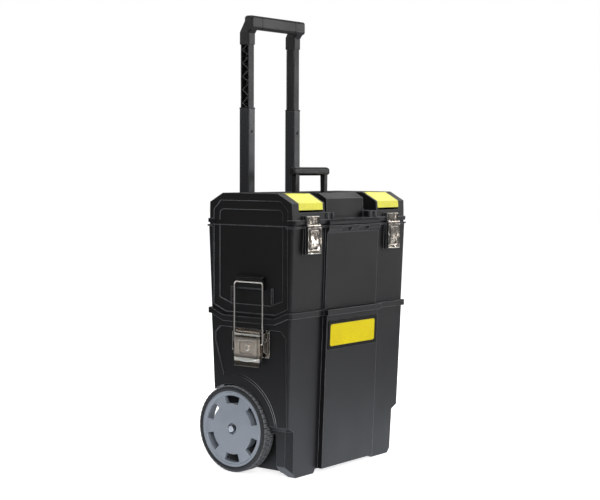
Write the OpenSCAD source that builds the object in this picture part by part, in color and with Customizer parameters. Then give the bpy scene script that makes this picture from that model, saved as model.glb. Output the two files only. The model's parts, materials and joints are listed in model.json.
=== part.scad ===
// Rolling tool box: a wheeled lower bin that carries a lift-off tool box.
// Millimetres, +Z up, +Y towards the back.  The origin is the middle of the
// footprint, on the floor.  Both boxes share a mid-plane, box_y in front of it.

/* [Overall] */
// Width of the upper box at its bottom edge
box_w = 460; // [424:1:552]
// Depth of the upper box at its bottom edge
box_d = 246; // [232:1:300]
// Moulded wall of the boxes
wall = 3; // [2.4:0.1:3.6]
// Radius of the boxes' upright corners
corner_r = 5; // [4.5:0.5:8]
// Width of the middle part that stands proud on each front
front_mid_w = 210; // [206:1:230]
// Gap left between a loose part and what it rests on
seat_gap = 0.3; // [0.2:0.05:0.5]
// Running clearance round shafts and pins, on the radius
run_gap = 0.08; // [0.05:0.01:0.1]

/* [Lower bin] */
// Height of the bin's rim above the floor
bin_h = 396; // [330:1:476]
// How much narrower the bin is at its foot than at its rim
bin_draft_w = 7; // [4:1:12]
// How much shallower the bin is at its foot than at its rim
bin_draft_d = 22; // [12:1:26]
// How far the middle of the bin's front stands proud
bin_step = 13; // [8:0.5:15]
// Height of the rim flange
rim_h = 14; // [10:1:18]
// How far the rim flange reaches out at the front and back
rim_out = 6; // [5:0.5:9]
// How far the rim flange reaches out at each end
rim_end = 5.5; // [4:0.5:6]
// Depth of the dip in the rim at each end
end_dip = 16; // [10:1:18]
// Height at which the narrower foot starts
foot_top = 118; // [112:1:130]
// How far the foot is set in at each end
foot_inset = 14; // [8:1:18]
// Height of the bin's underside above the floor
floor_gap = 10; // [6:1:16]

/* [Wheels] */
// Outer radius of the tyre
wheel_r = 105; // [86:1:108]
// Width of the tyre
tyre_w = 42; // [35:1:50]
// Thickness of the tyre, from its hub to its tread
tyre_t = 13; // [9:0.5:20]
// Distance of the axle behind the boxes' mid-plane
axle_back = 54; // [50:1:60]
// Radius of the steel axle
axle_r = 6; // [5:0.5:7.5]
// Room between a wheel and its well
well_room = 4; // [3:1:12]

/* [Upper box] */
// Height of the upper box without its lid
box_h = 200.7; // [180:0.1:242]
// How much wider the upper box is at its rim
box_flare_w = 4; // [2:1:8]
// How much deeper the upper box is at its rim
box_flare_d = 16; // [8:1:18]
// How far the middle of the upper box's front stands proud
box_step = 6; // [4:0.5:8]
// Depth of each of the two steps of the recess in the ends
panel_step = 2.5; // [1.5:0.1:3]

/* [Lid] */
// Height of the lid
lid_h = 76.5; // [72:0.5:92]
// Drop of the lid's sloping front and back edges
slope_drop = 22.5; // [16:0.5:26]
// Length of those slopes, front to back
slope_run = 42; // [34:1:48]
// Width of the lid's middle part, between the two organisers
lid_mid_w = 214; // [206:1:220]
// Width of the raised tongue in the middle
tongue_w = 150; // [130:1:156]
// Width of an organiser's cover
cover_w = 92; // [78:0.5:96]
// Depth of an organiser's well
organiser_d = 44; // [36:1:48]
// Length of the lid's bay for the stowed handle, front to back
bay_d = 50; // [44:1:54]

/* [Telescopic handle] */
// Distance between the two tubes
tube_pitch = 181; // [160:1:190]
// Distance of the tubes behind the upper box's bottom edge
tube_out = 5; // [4:0.5:9]
// Width of the middle tubes, side to side
mid_w = 25; // [24:0.5:28]
// Depth of the middle tubes, front to back
mid_d = 31; // [28:0.5:32]
// Wall of the middle tubes
mid_wall = 1.8; // [1.6:0.1:2.2]
// Length of the middle tubes
mid_len = 583; // [540:1:600]
// Length of middle tube left in its guide when it is pulled out
mid_held = 81; // [60:1:110]
// Gap between an inner tube and the middle tube it slides in
inner_gap = 0.4; // [0.4:0.1:1.5]
// Length of inner tube left in the middle tube when it is pulled out
inner_held = 80; // [70:1:110]
// Height of the grip's top above the middle tubes when it is pulled out
grip_out = 230; // [180:1:270]
// Pitch of the inner tubes' zigzag ribs
rib_pitch = 31; // [24:1:36]

/* [Side latches] */
// Width of the wire bail, centre to centre
bail_w = 87; // [80:1:92]
// Thickness of the bail's wire
bail_t = 3.6; // [3:0.1:4]
// Height of the bail's top bar above the bin's rim
bail_up = 68; // [60:1:74]
// Depth of the lever's pivot below the bin's rim
lever_down = 51; // [48:1:58]
// Length of the lever below its pivot
lever_len = 82; // [76:1:90]
// Width of the lever
lever_w = 78; // [72:1:80]
// Distance of the side latches in front of the boxes' mid-plane
latch_fore = 4; // [0:0.5:8]
// Radius of the padlock eyes
eye_r = 3.5; // [3:0.1:4]

/* [Front latches and carry handle] */
// Width of the front latches
hasp_w = 50; // [42:1:54]
// Distance of the front latches from the middle
hasp_x = 164.5; // [158:0.5:170]
// Length of a front latch below its hinge
hasp_len = 66; // [56:1:72]
// Width of the carry handle
carry_w = 144; // [124:1:146]
// Height of the top of the carry handle above its pivots
carry_h = 72; // [60:1:74]
// Width of the lift-out tray, front to back
tray_d = 110; // [92:1:120]

/* [Hidden] */

$fn = 48;
eps = 0.02;

// Heights
box_z0 = bin_h + seat_gap;
box_z1 = box_z0 + box_h;
skirt_z = box_z0 + 5;
lid_z0 = box_z1 + 0.4;
lid_z1 = lid_z0 + lid_h;
seam_z = box_z1 + 2.5;

// Plan sizes
box_top_w = box_w + box_flare_w;
box_top_d = box_d + box_flare_d;
bin_top_w = box_w + 2;
bin_top_d = box_d + 2;
bin_low_w = bin_top_w - bin_draft_w;
bin_low_d = bin_top_d - bin_draft_d;
foot_w = bin_low_w - 2 * foot_inset;
rim_w = bin_top_w + 2 * rim_end;
rim_d = bin_top_d + 2 * rim_out;
rim_lip = 2.4;
lid_w = box_top_w - 4;
lid_d = box_top_d - 2;
ledge_out = box_top_d / 2 + 12;

// The end faces step in twice, and the moulded end wall follows them
panel_x = box_w / 2 - panel_step;
panel_in_x = panel_x - panel_step;
end_in = panel_in_x - wall;

// Wheels, centred on the axle
wheel_out = bin_top_w / 2 + 7;
wheel_in = wheel_out - tyre_w;
well_in = wheel_in - 8;
well_r = wheel_r + well_room;
hub_r = wheel_r - tyre_t;
axle_z = wheel_r;
axle_len = 2 * (wheel_out - 3);

// The origin is in the middle of the depth, between the lid's ledge and the wheels' backs
box_y = (ledge_out - axle_back - wheel_r) / 2;

// Telescopic handle
tube_x = tube_pitch / 2;
tube_back = box_d / 2 + tube_out;
slide_gap = 0.3;
guide_wall = 2.7;
guide_w = mid_w + 2 * (slide_gap + guide_wall);
guide_d = mid_d + 2 * (slide_gap + guide_wall);
guide_face = tube_back - guide_d / 2;
channel_half = guide_w / 2 + 9;
guide_top = bin_h - rim_h - 4;
guide_low = 20;
mid_low = guide_top - mid_held;
mid_top = mid_low + mid_len;
inner_w = mid_w - 2 * (mid_wall + inner_gap);
inner_d = mid_d - 2 * (mid_wall + inner_gap);
grip_top = mid_top + grip_out;
recess_y = tube_back - mid_d / 2 - 3.5;
bay_w = tube_pitch + mid_w + 20;
bay_y = lid_d / 2 - bay_d;
inner_low = mid_top - inner_held;
grip_h = 33;
grip_d = 27;
socket_low = grip_top - 70;
socket_h = 30;
socket_wall = 2.2;
lower_button_z = guide_top - 40;
upper_button_z = mid_top - 57;
button_r = 3.5;

// Helpers ------------------------------------------------------------------

function unit(v) = v / norm(v);

// Points that round the corner q, between p and s, with radius r
function corner(p, q, s, r, n) =
    r <= 0 ? [q] :
    let (a = unit(p - q), b = unit(s - q), half = acos(a * b) / 2,
         c = q + unit(a + b) * r / sin(half),
         u = q + a * r / tan(half) - c, v = q + b * r / tan(half) - c,
         a0 = atan2(u.y, u.x), turn = atan2(v.y, v.x) - a0,
         sweep = turn > 180 ? turn - 360 : turn < -180 ? turn + 360 : turn)
    [for (i = [0:n]) c + r * [cos(a0 + sweep * i / n), sin(a0 + sweep * i / n)]];

// An outline with its corners rounded by one radius, or by one radius each
function rounded(pts, r, n = 4) = let (last = len(pts) - 1)
    [for (i = [0:last]) each corner(pts[i == 0 ? last : i - 1], pts[i], pts[i == last ? 0 : i + 1],
                                    is_list(r) ? r[i] : r, n)];

function rect(w, d) = [[-w / 2, -d / 2], [w / 2, -d / 2], [w / 2, d / 2], [-w / 2, d / 2]];

// The value at z on a straight line from a at z0 to b at z1
function between(z, z0, a, z1, b) = a + (b - a) * (z - z0) / (z1 - z0);

module plan(w, d, r, n = 4) polygon(rounded(rect(w, d), r, n));

// A block with drafted sides, its upright corners rounded in n steps: one step cuts them off
module drafted(w0, d0, z0, w1, d1, z1, r, n = 4) {
    hull() {
        translate([0, 0, z0]) linear_extrude(eps) plan(w0, d0, r, n);
        translate([0, 0, z1 - eps]) linear_extrude(eps) plan(w1, d1, r, n);
    }
}

// A (y, z) outline extruded along X, from x0 to x1
module side_profile(pts, x0, x1)
    translate([x0, 0, 0]) rotate([90, 0, 90]) linear_extrude(x1 - x0) polygon(pts);

// An (x, z) outline extruded along Y, from y0 to y1
module front_profile(pts, y0, y1)
    translate([0, y1, 0]) rotate([90, 0, 0]) linear_extrude(y1 - y0) polygon(pts);

// A block given by its two corners
module block(a, b) translate(a) cube(b - a);

module rod_x(x0, x1, y, z, r) translate([x0, y, z]) rotate([0, 90, 0]) cylinder(h = x1 - x0, r = r);
module rod_y(y0, y1, x, z, r) translate([x, y0, z]) rotate([-90, 0, 0]) cylinder(h = y1 - y0, r = r);

module both_ends() { children(); mirror([1, 0, 0]) children(); }
module on_boxes() translate([0, box_y, 0]) children();

// Modelled at the right end, and mirrored for the left
module at_end(left) mirror([left ? 1 : 0, 0, 0]) on_boxes() children();
module at_latch(left) at_end(left) translate([0, -latch_fore, 0]) children();

// Lower bin ----------------------------------------------------------------

label_w = 199;
label_h = 70;
label_z = bin_h - 63;
label_edge = 16;
label_sunk = 1.2;
pocket_deep = 3;
lever_z = bin_h - lever_down;
bail_top = bin_h + bail_up;
pocket_top = lever_z + 7;
pocket_half = box_d / 2 - 13;
bend_z = foot_top + 6;
ledge_z = foot_top - 5;
foot_cut = 14;
foot_bevel = 24;
tunnel_w = 2 * (well_in - 6);
well_step = 15;
fender_r = well_r + 28;
dip_half = box_d / 2 - 5;
dip_run = 38;

// Half width and half depth of the bin's drafted body at height z
function bin_x(z) = between(z, bend_z, bin_low_w, bin_h, bin_top_w) / 2;
function bin_y(z) = between(z, bend_z, bin_low_d, bin_h, bin_top_d) / 2;
bin_lean = atan((bin_top_d - bin_low_d) / 2 / (bin_h - bend_z));
pocket_x = bin_x(pocket_top - 40) - pocket_deep;

// Puts children on the face of the bin's proud middle: y = 0 is its skin, +z runs up it
module on_bin_front(z) translate([0, -bin_y(z) - bin_step, z]) rotate([bin_lean, 0, 0]) children();

// Side view of the line where the boxes part, which dips at the ends, raised by up
function parting(up) = [[-dip_half, bin_h + up], [dip_run - dip_half, bin_h - end_dip + up],
                        [dip_half - dip_run, bin_h - end_dip + up], [dip_half, bin_h + up]];

// Front view of the foot, bevelled along its lower ends, with its skin drawn in by t
function foot_view(t) = let (x = foot_w / 2 - foot_bevel - t * 4 / 3, out = foot_bevel + 6,
                             up = out * 9 / 8)
    [[-x, 0], [x, 0], [x + out, up], [x + out, bin_h], [-x - out, bin_h], [-x - out, up]];

module bin_outside() {
    drafted(bin_low_w, bin_low_d, bend_z, bin_top_w, bin_top_d, bin_h - 2, corner_r);
    // the foot is narrower, with its corners cut off, under a sloping ledge
    hull() {
        translate([0, 0, ledge_z - eps]) linear_extrude(eps)
            plan(foot_w + 6, 2 * bin_y(ledge_z), foot_cut, 1);
        translate([0, 0, bend_z]) linear_extrude(eps) plan(bin_low_w, bin_low_d, corner_r);
    }
    intersection() {
        drafted(foot_w, 2 * bin_y(floor_gap), floor_gap, foot_w + 6, 2 * bin_y(ledge_z), ledge_z, foot_cut,
                1);
        front_profile(foot_view(0), -bin_top_d, bin_top_d);
    }
    side_profile([[-bin_y(floor_gap) - bin_step, floor_gap], [0, floor_gap], [0, bin_h - 2],
                  [-bin_y(bin_h - 2) - bin_step, bin_h - 2]], -front_mid_w / 2, front_mid_w / 2);
}

module bin_inside() {
    intersection() {
        drafted(foot_w - 2 * wall, 2 * bin_y(floor_gap) - 2 * wall, floor_gap + wall,
                foot_w + 6 - 2 * wall, bin_low_d - 2 * wall, bend_z + wall + eps, foot_cut - 2, 1);
        front_profile(foot_view(wall), -bin_top_d, bin_top_d);
    }
    drafted(bin_low_w - 2 * (wall + pocket_deep), bin_low_d - 2 * wall, bend_z + wall,
            bin_top_w - 2 * (wall + pocket_deep), bin_top_d - 2 * wall, bin_h + 1, corner_r - wall + 1);
    side_profile([[-bin_y(floor_gap) - bin_step + wall, floor_gap + wall + 2], [0, floor_gap + wall + 2],
                  [0, bin_h + 1],
                  [-bin_y(bin_h + 1) - bin_step + wall, bin_h + 1]], -front_mid_w / 2 + wall,
                  front_mid_w / 2 - wall);
}

// Side view of the space under the back of the floor, where the axle runs
function axle_space(t) = [[axle_back - 30 - t, -1], [axle_back - 30 - t, foot_top - 24 + t / 2],
                          [axle_back - 6 - t / 2, foot_top + t], [bin_low_d, foot_top + t],
                          [bin_low_d, -1]];

// Round over each wheel and straight-sided below the axle, with t left round it as the wall
module wheel_wells(t) both_ends() {
    rod_x(well_in - t, bin_top_w, axle_back, axle_z, well_r + t, $fn = 96);
    block([well_in - t, axle_back - well_r - well_step - t, -1], [bin_top_w, bin_top_d, axle_z + t]);
}

// Upright channels in the back, which the guides are screwed into, with t left round them
module guide_channels(t) both_ends()
    block([tube_x - channel_half - t, guide_face - t, foot_top - 1],
          [tube_x + channel_half + t, bin_top_d, bin_h + 2]);

// The ends are sunk a little, up to a bevelled fender round each wheel well
module end_pockets() both_ends() difference() {
    side_profile([[-pocket_half, foot_top], [-pocket_half, pocket_top - 16], [16 - pocket_half, pocket_top],
                  [pocket_half - 16, pocket_top], [pocket_half, pocket_top - 16],
                  [pocket_half, pocket_top - 32],
                  [pocket_half - 26, axle_z + fender_r - 6], [pocket_half - 26, foot_top]], pocket_x,
                  bin_top_w);
    translate([pocket_x - 1, axle_back, axle_z]) rotate([0, 90, 0])
        cylinder(h = 6, r1 = fender_r + 3, r2 = fender_r - 15, $fn = 96);
}

// A flange turned down round the rim, which dips with it at the ends
module rim_flange() difference() {
    intersection() {
        translate([0, 0, bin_h - end_dip - rim_h]) linear_extrude(end_dip + rim_h) union() {
            plan(rim_w, rim_d, corner_r + 2);
            translate([0, -rim_d / 4 - bin_step / 2])
                square([front_mid_w + 8, rim_d / 2 + bin_step], center = true);
        }
        side_profile(concat([[-rim_d, bin_h]], parting(0), [[rim_d, bin_h], [rim_d, bin_h - rim_h]],
                            [for (i = [3:-1:0]) parting(-rim_h)[i]], [[-rim_d, bin_h - rim_h]]), -rim_w,
                            rim_w);
    }
    // hollow behind the downturned lip, at the back and on both sides of the front
    for (x = [-1, 1])
            block([min(x * (front_mid_w / 2 + 8), x * (bin_top_w / 2 - 14)), -rim_d / 2 + rim_lip,
                   bin_h - rim_h - 1],
                            [max(x * (front_mid_w / 2 + 8), x * (bin_top_w / 2 - 14)), -bin_top_d / 2 - 1,
                             bin_h - wall]);
    block([-tube_x + channel_half, bin_top_d / 2 + 1, bin_h - rim_h - 1],
          [tube_x - channel_half, rim_d / 2 - rim_lip, bin_h - wall]);
}

// Feet under the corners of the front, bevelled at both ends
module front_feet() both_ends() intersection() {
    side_profile([[-bin_y(0), 0], [22 - bin_y(0), 0], [34 - bin_y(0), floor_gap + 1],
                  [-bin_y(floor_gap + 1), floor_gap + 1]],
                 front_mid_w / 2, foot_w / 2);
    front_profile([[front_mid_w / 2 + 16, 0], [foot_w / 2 - foot_bevel, 0],
                   [foot_w / 2 - foot_bevel + 16, 18],
                   [front_mid_w / 2 + 4, 18]], -bin_top_d, bin_top_d);
}

module axle_lugs() for (x = [-60, 60])
    side_profile(rounded([[axle_back - 15, axle_z - 15], [axle_back + 15, axle_z - 15],
                          [axle_back + 26, foot_top + 1], [axle_back - 20, foot_top + 1]], [12, 12, 0, 0]),
                          x - 4, x + 4);

module lower_bin() color("#26272a") on_boxes() difference() {
    union() {
        difference() {
            union() {
                bin_outside();
                rim_flange();
            }
            difference() {
                bin_inside();
                wheel_wells(wall);
                side_profile(axle_space(wall), -tunnel_w / 2 - wall, tunnel_w / 2 + wall);
                guide_channels(wall);
            }
            wheel_wells(0);
            side_profile(axle_space(0), -tunnel_w / 2, tunnel_w / 2);
            guide_channels(0);
        }
        front_feet();
        axle_lugs();
    }
    end_pockets();
    side_profile(concat(parting(0), [[dip_half, bin_h + 1], [-dip_half, bin_h + 1]]), -rim_w, rim_w);
    rod_x(-bin_top_w, bin_top_w, axle_back, axle_z, axle_r + run_gap);
    // seat of the label frame
    on_bin_front(label_z) block([-label_w / 2, -1, -label_h / 2], [label_w / 2, label_sunk, label_h / 2]);
}

module label_frame() color("#17181a") on_boxes() on_bin_front(label_z) difference() {
    front_profile(rounded(rect(label_w - 0.6, label_h - 0.6), 2), -1.4, label_sunk - 0.05);
    front_profile(rounded(rect(label_w - label_edge, label_h - label_edge), 6), -2, 0);
}

module label_plate() color("#f2d91e") on_boxes() on_bin_front(label_z)
    front_profile(rounded(rect(label_w - label_edge - 1, label_h - label_edge - 1), 5.5), -1, -0.05);

module axle() color("#9a9da0") on_boxes() rod_x(-axle_len / 2, axle_len / 2, axle_back, axle_z, axle_r);

module axle_caps() color("#b9bcc0") on_boxes() both_ends() difference() {
    union() {
        rod_x(hub_nose + seat_gap, hub_nose + seat_gap + 1.4, axle_back, axle_z, axle_r + 3);
        rod_x(hub_nose + seat_gap, axle_len / 2 + 1.5, axle_back, axle_z, axle_r + 1.5);
    }
    rod_x(hub_nose, axle_len / 2, axle_back, axle_z, axle_r + 0.02);
}

// Wheels -------------------------------------------------------------------

hub_dish = 6;
hub_boss_r = 17;
hub_face = wheel_out - hub_dish;
hub_nose = hub_face - 9;
window_r0 = hub_r * 0.67;
window_r1 = hub_r * 0.88;
hub_step_r = window_r0 - 5.5;

// A (radius, x) outline turned round the axle's line
module turned(pts) translate([0, axle_back, axle_z]) rotate([0, 90, 0]) rotate_extrude($fn = 96)
    polygon(pts);

module tyre(left) color("#2d2d2f") at_end(left)
    turned(rounded([[hub_r, wheel_in + 3], [wheel_r - 7, wheel_in], [wheel_r, wheel_in + 6],
                    [wheel_r, wheel_out - 6], [wheel_r - 7, wheel_out], [hub_r, wheel_out - 3]],
                   [0, 3, 3, 3, 3, 0], 3));

// One window of the hub, between two radii and half degrees to each side
module hub_window(r0, r1, half)
    polygon(concat([for (i = [-3:3]) r1 * [cos(i * half / 3), sin(i * half / 3)]],
                   [for (i = [3:-1:-3]) r0 * [cos(i * half / 3), sin(i * half / 3)]]));

module hub(left) color("#7d8590") at_end(left) difference() {
    union() {
        turned([[axle_r + run_gap, well_in + seat_gap], [hub_boss_r, well_in + seat_gap],
                [hub_boss_r, hub_face - 5],
                [hub_step_r - 4, hub_face - 5], [hub_step_r, hub_face - 9], [hub_r - 5, hub_face - 9],
                [hub_r - 5, wheel_in + 4], [hub_r - 0.05, wheel_in + 4], [hub_r - 0.05, wheel_out - 3.5],
                [hub_r - 2, wheel_out - 2.5], [hub_r - 5, wheel_out - 2.5], [hub_r - 8, hub_face],
                [axle_r + 8, hub_face], [axle_r + 7, hub_nose], [axle_r + run_gap, hub_nose]]);
        // ring behind the disc, just inside its windows
        turned([[window_r0 - 4.5, wheel_in + 12], [window_r0 - 1.5, wheel_in + 12],
                [window_r0 - 1.5, hub_face - 7], [window_r0 - 4.5, hub_face - 7]]);
        // stiffening ribs behind the disc
        for (i = [0:5]) translate([0, axle_back, axle_z]) rotate([60 * i, 0, 0])
            block([wheel_in + 8, hub_boss_r - 3, -1.5], [hub_face - 3, hub_r - 3, 1.5]);
    }
    for (i = [0:5]) translate([wheel_in + 9, axle_back, axle_z]) rotate([60 * i + 30, 0, 0])
        rotate([90, 0, 90])
        linear_extrude(tyre_w) hub_window(window_r0, window_r1, 17);
}

// Telescopic handle --------------------------------------------------------

bridge_h = 10;
bar_half = 6;
plug_h = 56;
screw_r = 3.4;
collar_h = 4;
slider_h = 46;
bore_gap = 0.1;
button_len = 10;
button_play = 4;
flange_t = 3.2;
web_w = 13;
web_t = 4;

module tube_section(w, d) polygon(rounded(rect(w, d), 2.5));
module inner_section(w, d) polygon(rounded(rect(w, d), 1));
module at_tube() translate([tube_x, tube_back, 0]) children();

// A channel with flanges; the slot in its inner side lets the bridge travel
module guide(left) color("#3a3b3d") at_end(left) difference() {
    at_tube() translate([0, 0, guide_low]) linear_extrude(guide_top - guide_low) union() {
        tube_section(guide_w, guide_d);
        translate([0, (guide_wall - guide_d) / 2]) square([guide_w + 16, guide_wall], center = true);
    }
    at_tube() translate([0, 0, guide_low + guide_wall]) linear_extrude(guide_top)
        tube_section(mid_w + 2 * slide_gap, mid_d + 2 * slide_gap);
    block([0, tube_back - bar_half - slide_gap, guide_low + guide_wall],
          [tube_x, tube_back + bar_half + slide_gap, mid_low + 1]);
    rod_y(tube_back, tube_back + guide_d, tube_x, lower_button_z, button_r + 0.4);
    for (z = screw_zs, s = [-1, 1])
        rod_y(guide_face - 1, guide_face + guide_wall + 1, tube_x + s * screw_off, z, 2.2);
}

screw_off = guide_w / 2 + 4.2;
screw_zs = [bend_z + 22, (bend_z + guide_top) / 2, guide_top - 14];

module guide_screws() color("#8f9296") on_boxes() both_ends() for (z = screw_zs, s = [-1, 1]) {
    rod_y(guide_face + guide_wall + 0.05, guide_face + guide_wall + 2.2, tube_x + s * screw_off, z,
          screw_r);
    rod_y(guide_face + 0.1, guide_face + guide_wall + 0.1, tube_x + s * screw_off, z, 2);
}

module middle_tubes() color("#303133") on_boxes() both_ends() difference() {
    at_tube() translate([0, 0, mid_low]) linear_extrude(mid_len) difference() {
        tube_section(mid_w, mid_d);
        polygon(rounded(rect(mid_w - 2 * mid_wall, mid_d - 2 * mid_wall), 1));
    }
    rod_y(tube_back - mid_d, tube_back, tube_x, upper_button_z, button_r + 0.4);
    rod_y(tube_back, tube_back + mid_d, tube_x, lower_button_z, button_r + bore_gap);
}

// Bushing on the end of each middle tube
module tube_collars() color("#1d1e20") on_boxes() both_ends() at_tube()
    translate([0, 0, mid_top + 0.05]) linear_extrude(collar_h) difference() {
        tube_section(mid_w + 1, mid_d + 1);
        inner_section(inner_w + 2 * slide_gap, inner_d + 2 * slide_gap);
    }

// A bar under both middle tubes, with a plug that stands up into each
module tube_bridge() color("#1d1e20") on_boxes() {
    block([-tube_x, tube_back - bar_half, mid_low - bridge_h],
          [tube_x, tube_back + bar_half, mid_low - 0.05]);
    both_ends() at_tube() translate([0, 0, mid_low - bridge_h]) linear_extrude(bridge_h - 0.05)
        tube_section(mid_w - 1, mid_d - 1);
    both_ends() difference() {
        at_tube() translate([0, 0, mid_low - 1]) linear_extrude(plug_h)
            polygon(rounded(rect(mid_w - 2 * mid_wall - 0.1, mid_d - 2 * mid_wall - 0.1), 1));
        rod_y(tube_back + mid_d / 2 - mid_wall - button_len - button_play, tube_back + mid_d,
              tube_x, lower_button_z, button_r + bore_gap);
    }
}

slider_w = mid_w - 2 * (mid_wall + slide_gap);
slider_d = mid_d - 2 * (mid_wall + slide_gap);
rib_z0 = inner_low + slider_h - 1;
rib_n = round((socket_low - rib_z0) / rib_pitch);
rib_step = (socket_low + 4 - rib_z0) / rib_n / 2;
zigzag = [for (i = [0:2 * rib_n]) [(i % 2 == 0 ? -1 : 1) * (inner_d / 2 - web_t / 2 - 0.5),
                                   rib_z0 + i * rib_step]];

// Two flanges joined by a zigzag rib, over a solid slider at the bottom
module inner_tube(left) color("#1f2022") at_end(left) difference() {
    at_tube() {
        for (s = [-1, 1]) translate([0, s * (inner_d - flange_t) / 2, inner_low + slider_h - 2])
            linear_extrude(socket_low + socket_h - 4 - inner_low - slider_h)
                polygon(rounded(rect(inner_w, flange_t), 1));
        side_profile(concat([for (p = zigzag) p + [web_t / 2, 0]],
                            [for (i = [len(zigzag) - 1:-1:0]) zigzag[i] - [web_t / 2, 0]]), -web_w / 2,
                            web_w / 2);
        translate([0, 0, socket_low + 1]) linear_extrude(socket_h - 7)
            square([inner_w - 1, inner_d - 1], center = true);
        translate([0, 0, inner_low]) linear_extrude(slider_h) polygon(rounded(rect(slider_w, slider_d), 1));
    }
    rod_y(tube_back - mid_d, tube_back - slider_d / 2 + button_len + button_play, tube_x, upper_button_z,
          button_r + bore_gap);
}

grip_y = tube_back - 16;
grip_half = tube_x + 14;

module grip() color("#1d1e20") on_boxes() {
    translate([0, grip_y, grip_top - grip_h / 2]) hull() {
        for (s = [-1, 1]) translate([s * (grip_half - 4), 0, 0]) rotate([90, 0, 90])
            linear_extrude(8, center = true) polygon(rounded(rect(grip_d - 2, grip_h - 2), 6, 6));
        for (s = [-1, 1]) translate([s * (grip_half - 6), 0, 0]) rotate([90, 0, 90])
            linear_extrude(8, center = true) polygon(rounded(rect(grip_d, grip_h), 7, 6));
    }
    both_ends() {
        difference() {
            hull() {
                at_tube() translate([0, 0, socket_low + socket_h - 3]) linear_extrude(3)
                    tube_section(inner_w + 2 * socket_wall, inner_d + 2 * socket_wall);
                translate([tube_x, grip_y, grip_top - grip_h / 2]) rotate([90, 0, 90])
                    linear_extrude(inner_w, center = true)
                        polygon(rounded(rect(grip_d - 3, grip_h - 3), 6, 4));
            }
            at_tube() translate([0, 0, socket_low]) linear_extrude(socket_h - 5.95)
                inner_section(inner_w + 0.1, inner_d + 0.1);
        }
        at_tube() translate([0, 0, socket_low]) linear_extrude(socket_h - 2) difference() {
            tube_section(inner_w + 2 * socket_wall, inner_d + 2 * socket_wall);
            inner_section(inner_w + 0.1, inner_d + 0.1);
        }
    }
}

module upper_button(left) color("#c3c6c9") at_end(left) {
    rod_y(tube_back - slider_d / 2 + 1, tube_back - slider_d / 2 + button_len, tube_x, upper_button_z,
          button_r);
    translate([tube_x, tube_back - slider_d / 2 + 1, upper_button_z]) rotate([90, 0, 0])
        cylinder(h = 1, r1 = button_r, r2 = button_r - 1);
}

module lower_button(left) color("#c3c6c9") at_end(left) {
    rod_y(tube_back + mid_d / 2 - mid_wall - button_len, tube_back + mid_d / 2 - 1, tube_x, lower_button_z,
          button_r);
    translate([tube_x, tube_back + mid_d / 2 - 1, lower_button_z]) rotate([-90, 0, 0])
        cylinder(h = 1, r1 = button_r, r2 = button_r - 1);
}

// Side latches -------------------------------------------------------------

plate_t = 1.5;
latch_x = pocket_x + 0.05;
pivot_x = latch_x + 11;
bail_x = pivot_x + 2;
bail_z = lever_z - 27;
bail_r = bail_t / 2;
bend_r = 7;
foot_bend_r = 3;
pin_r = 1.8;
ear_y = bail_w / 2 + bail_r + 3.2;
eye_z = lever_z - 17;
base_low = lever_z - 59;
base_high = pocket_top - 0.6;
base_half = ear_y + 7;
flap_t = 1.5;
inner_ear_y = lever_w / 2 - flap_t - 1.2;
rivets = [for (y = [-1, 1], z = [base_low + 6, base_high - 5]) [y * (base_half - 3), z]];

module latch_base(left) color("#c5bfb8") at_latch(left) difference() {
    union() {
        side_profile(rounded([[-base_half, base_low], [base_half, base_low], [base_half, base_high],
                              [-base_half, base_high]], 4),
                latch_x, latch_x + plate_t);
        for (s = [-1, 1]) {
            // ear for a padlock
            front_profile(rounded([[latch_x, base_low + 8], [pivot_x + 3, base_low + 14],
                                   [pivot_x + 3, base_high - 8],
                                   [latch_x, base_high - 2]], [0, 4, 4, 0]), s * ear_y - plate_t / 2,
                                   s * ear_y + plate_t / 2);
            // ear that carries the lever's pin
            front_profile(rounded([[latch_x, lever_z - 8], [pivot_x + 4.5, lever_z - 4.2],
                                   [pivot_x + 4.5, lever_z + 4.2],
                                   [latch_x, lever_z + 4.8]], [0, 3.5, 3.5, 0]),
                                   s * inner_ear_y - plate_t / 2, s * inner_ear_y + plate_t / 2);
        }
    }
    rod_y(-inner_ear_y - 2, inner_ear_y + 2, pivot_x, lever_z, pin_r);
    rod_y(-ear_y - 2, ear_y + 2, pivot_x - 3, eye_z, eye_r);
    for (p = rivets) rod_x(latch_x - 1, latch_x + plate_t + 1, p.x, p.y, 1.6);
}

module latch_pin(left) color("#a9a49e") at_latch(left)
    rod_y(-lever_w / 2 - 0.6, lever_w / 2 + 0.6, pivot_x, lever_z, pin_r);

module latch_rivets() color("#a9a49e") on_boxes() translate([0, -latch_fore, 0])
    both_ends() for (p = rivets) {
    rod_x(latch_x + plate_t, latch_x + plate_t + 1, p.x, p.y, 2.8);
    rod_x(latch_x + 0.1, latch_x + plate_t + 0.1, p.x, p.y, 1.6);
}

lever_low = lever_z - lever_len;
skin_x = pivot_x + 6.2;
frame_t = 4;
frame_x = skin_x + flap_t + frame_t;
frame_z = lever_z - 36;
frame_w = 66;
frame_h = 45;
lip_z = frame_z - frame_h / 2 - 2;
lip_half = 35;

// The lip that the fingers pull, straight along the top and bowed along the bottom
lip_view = concat([[-lip_half, lip_z], [lip_half, lip_z]],
                  [for (i = [4:-1:-4]) [i * lip_half / 4, lip_z - 2 - 7 * (1 - i * i / 16)]]);

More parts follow.
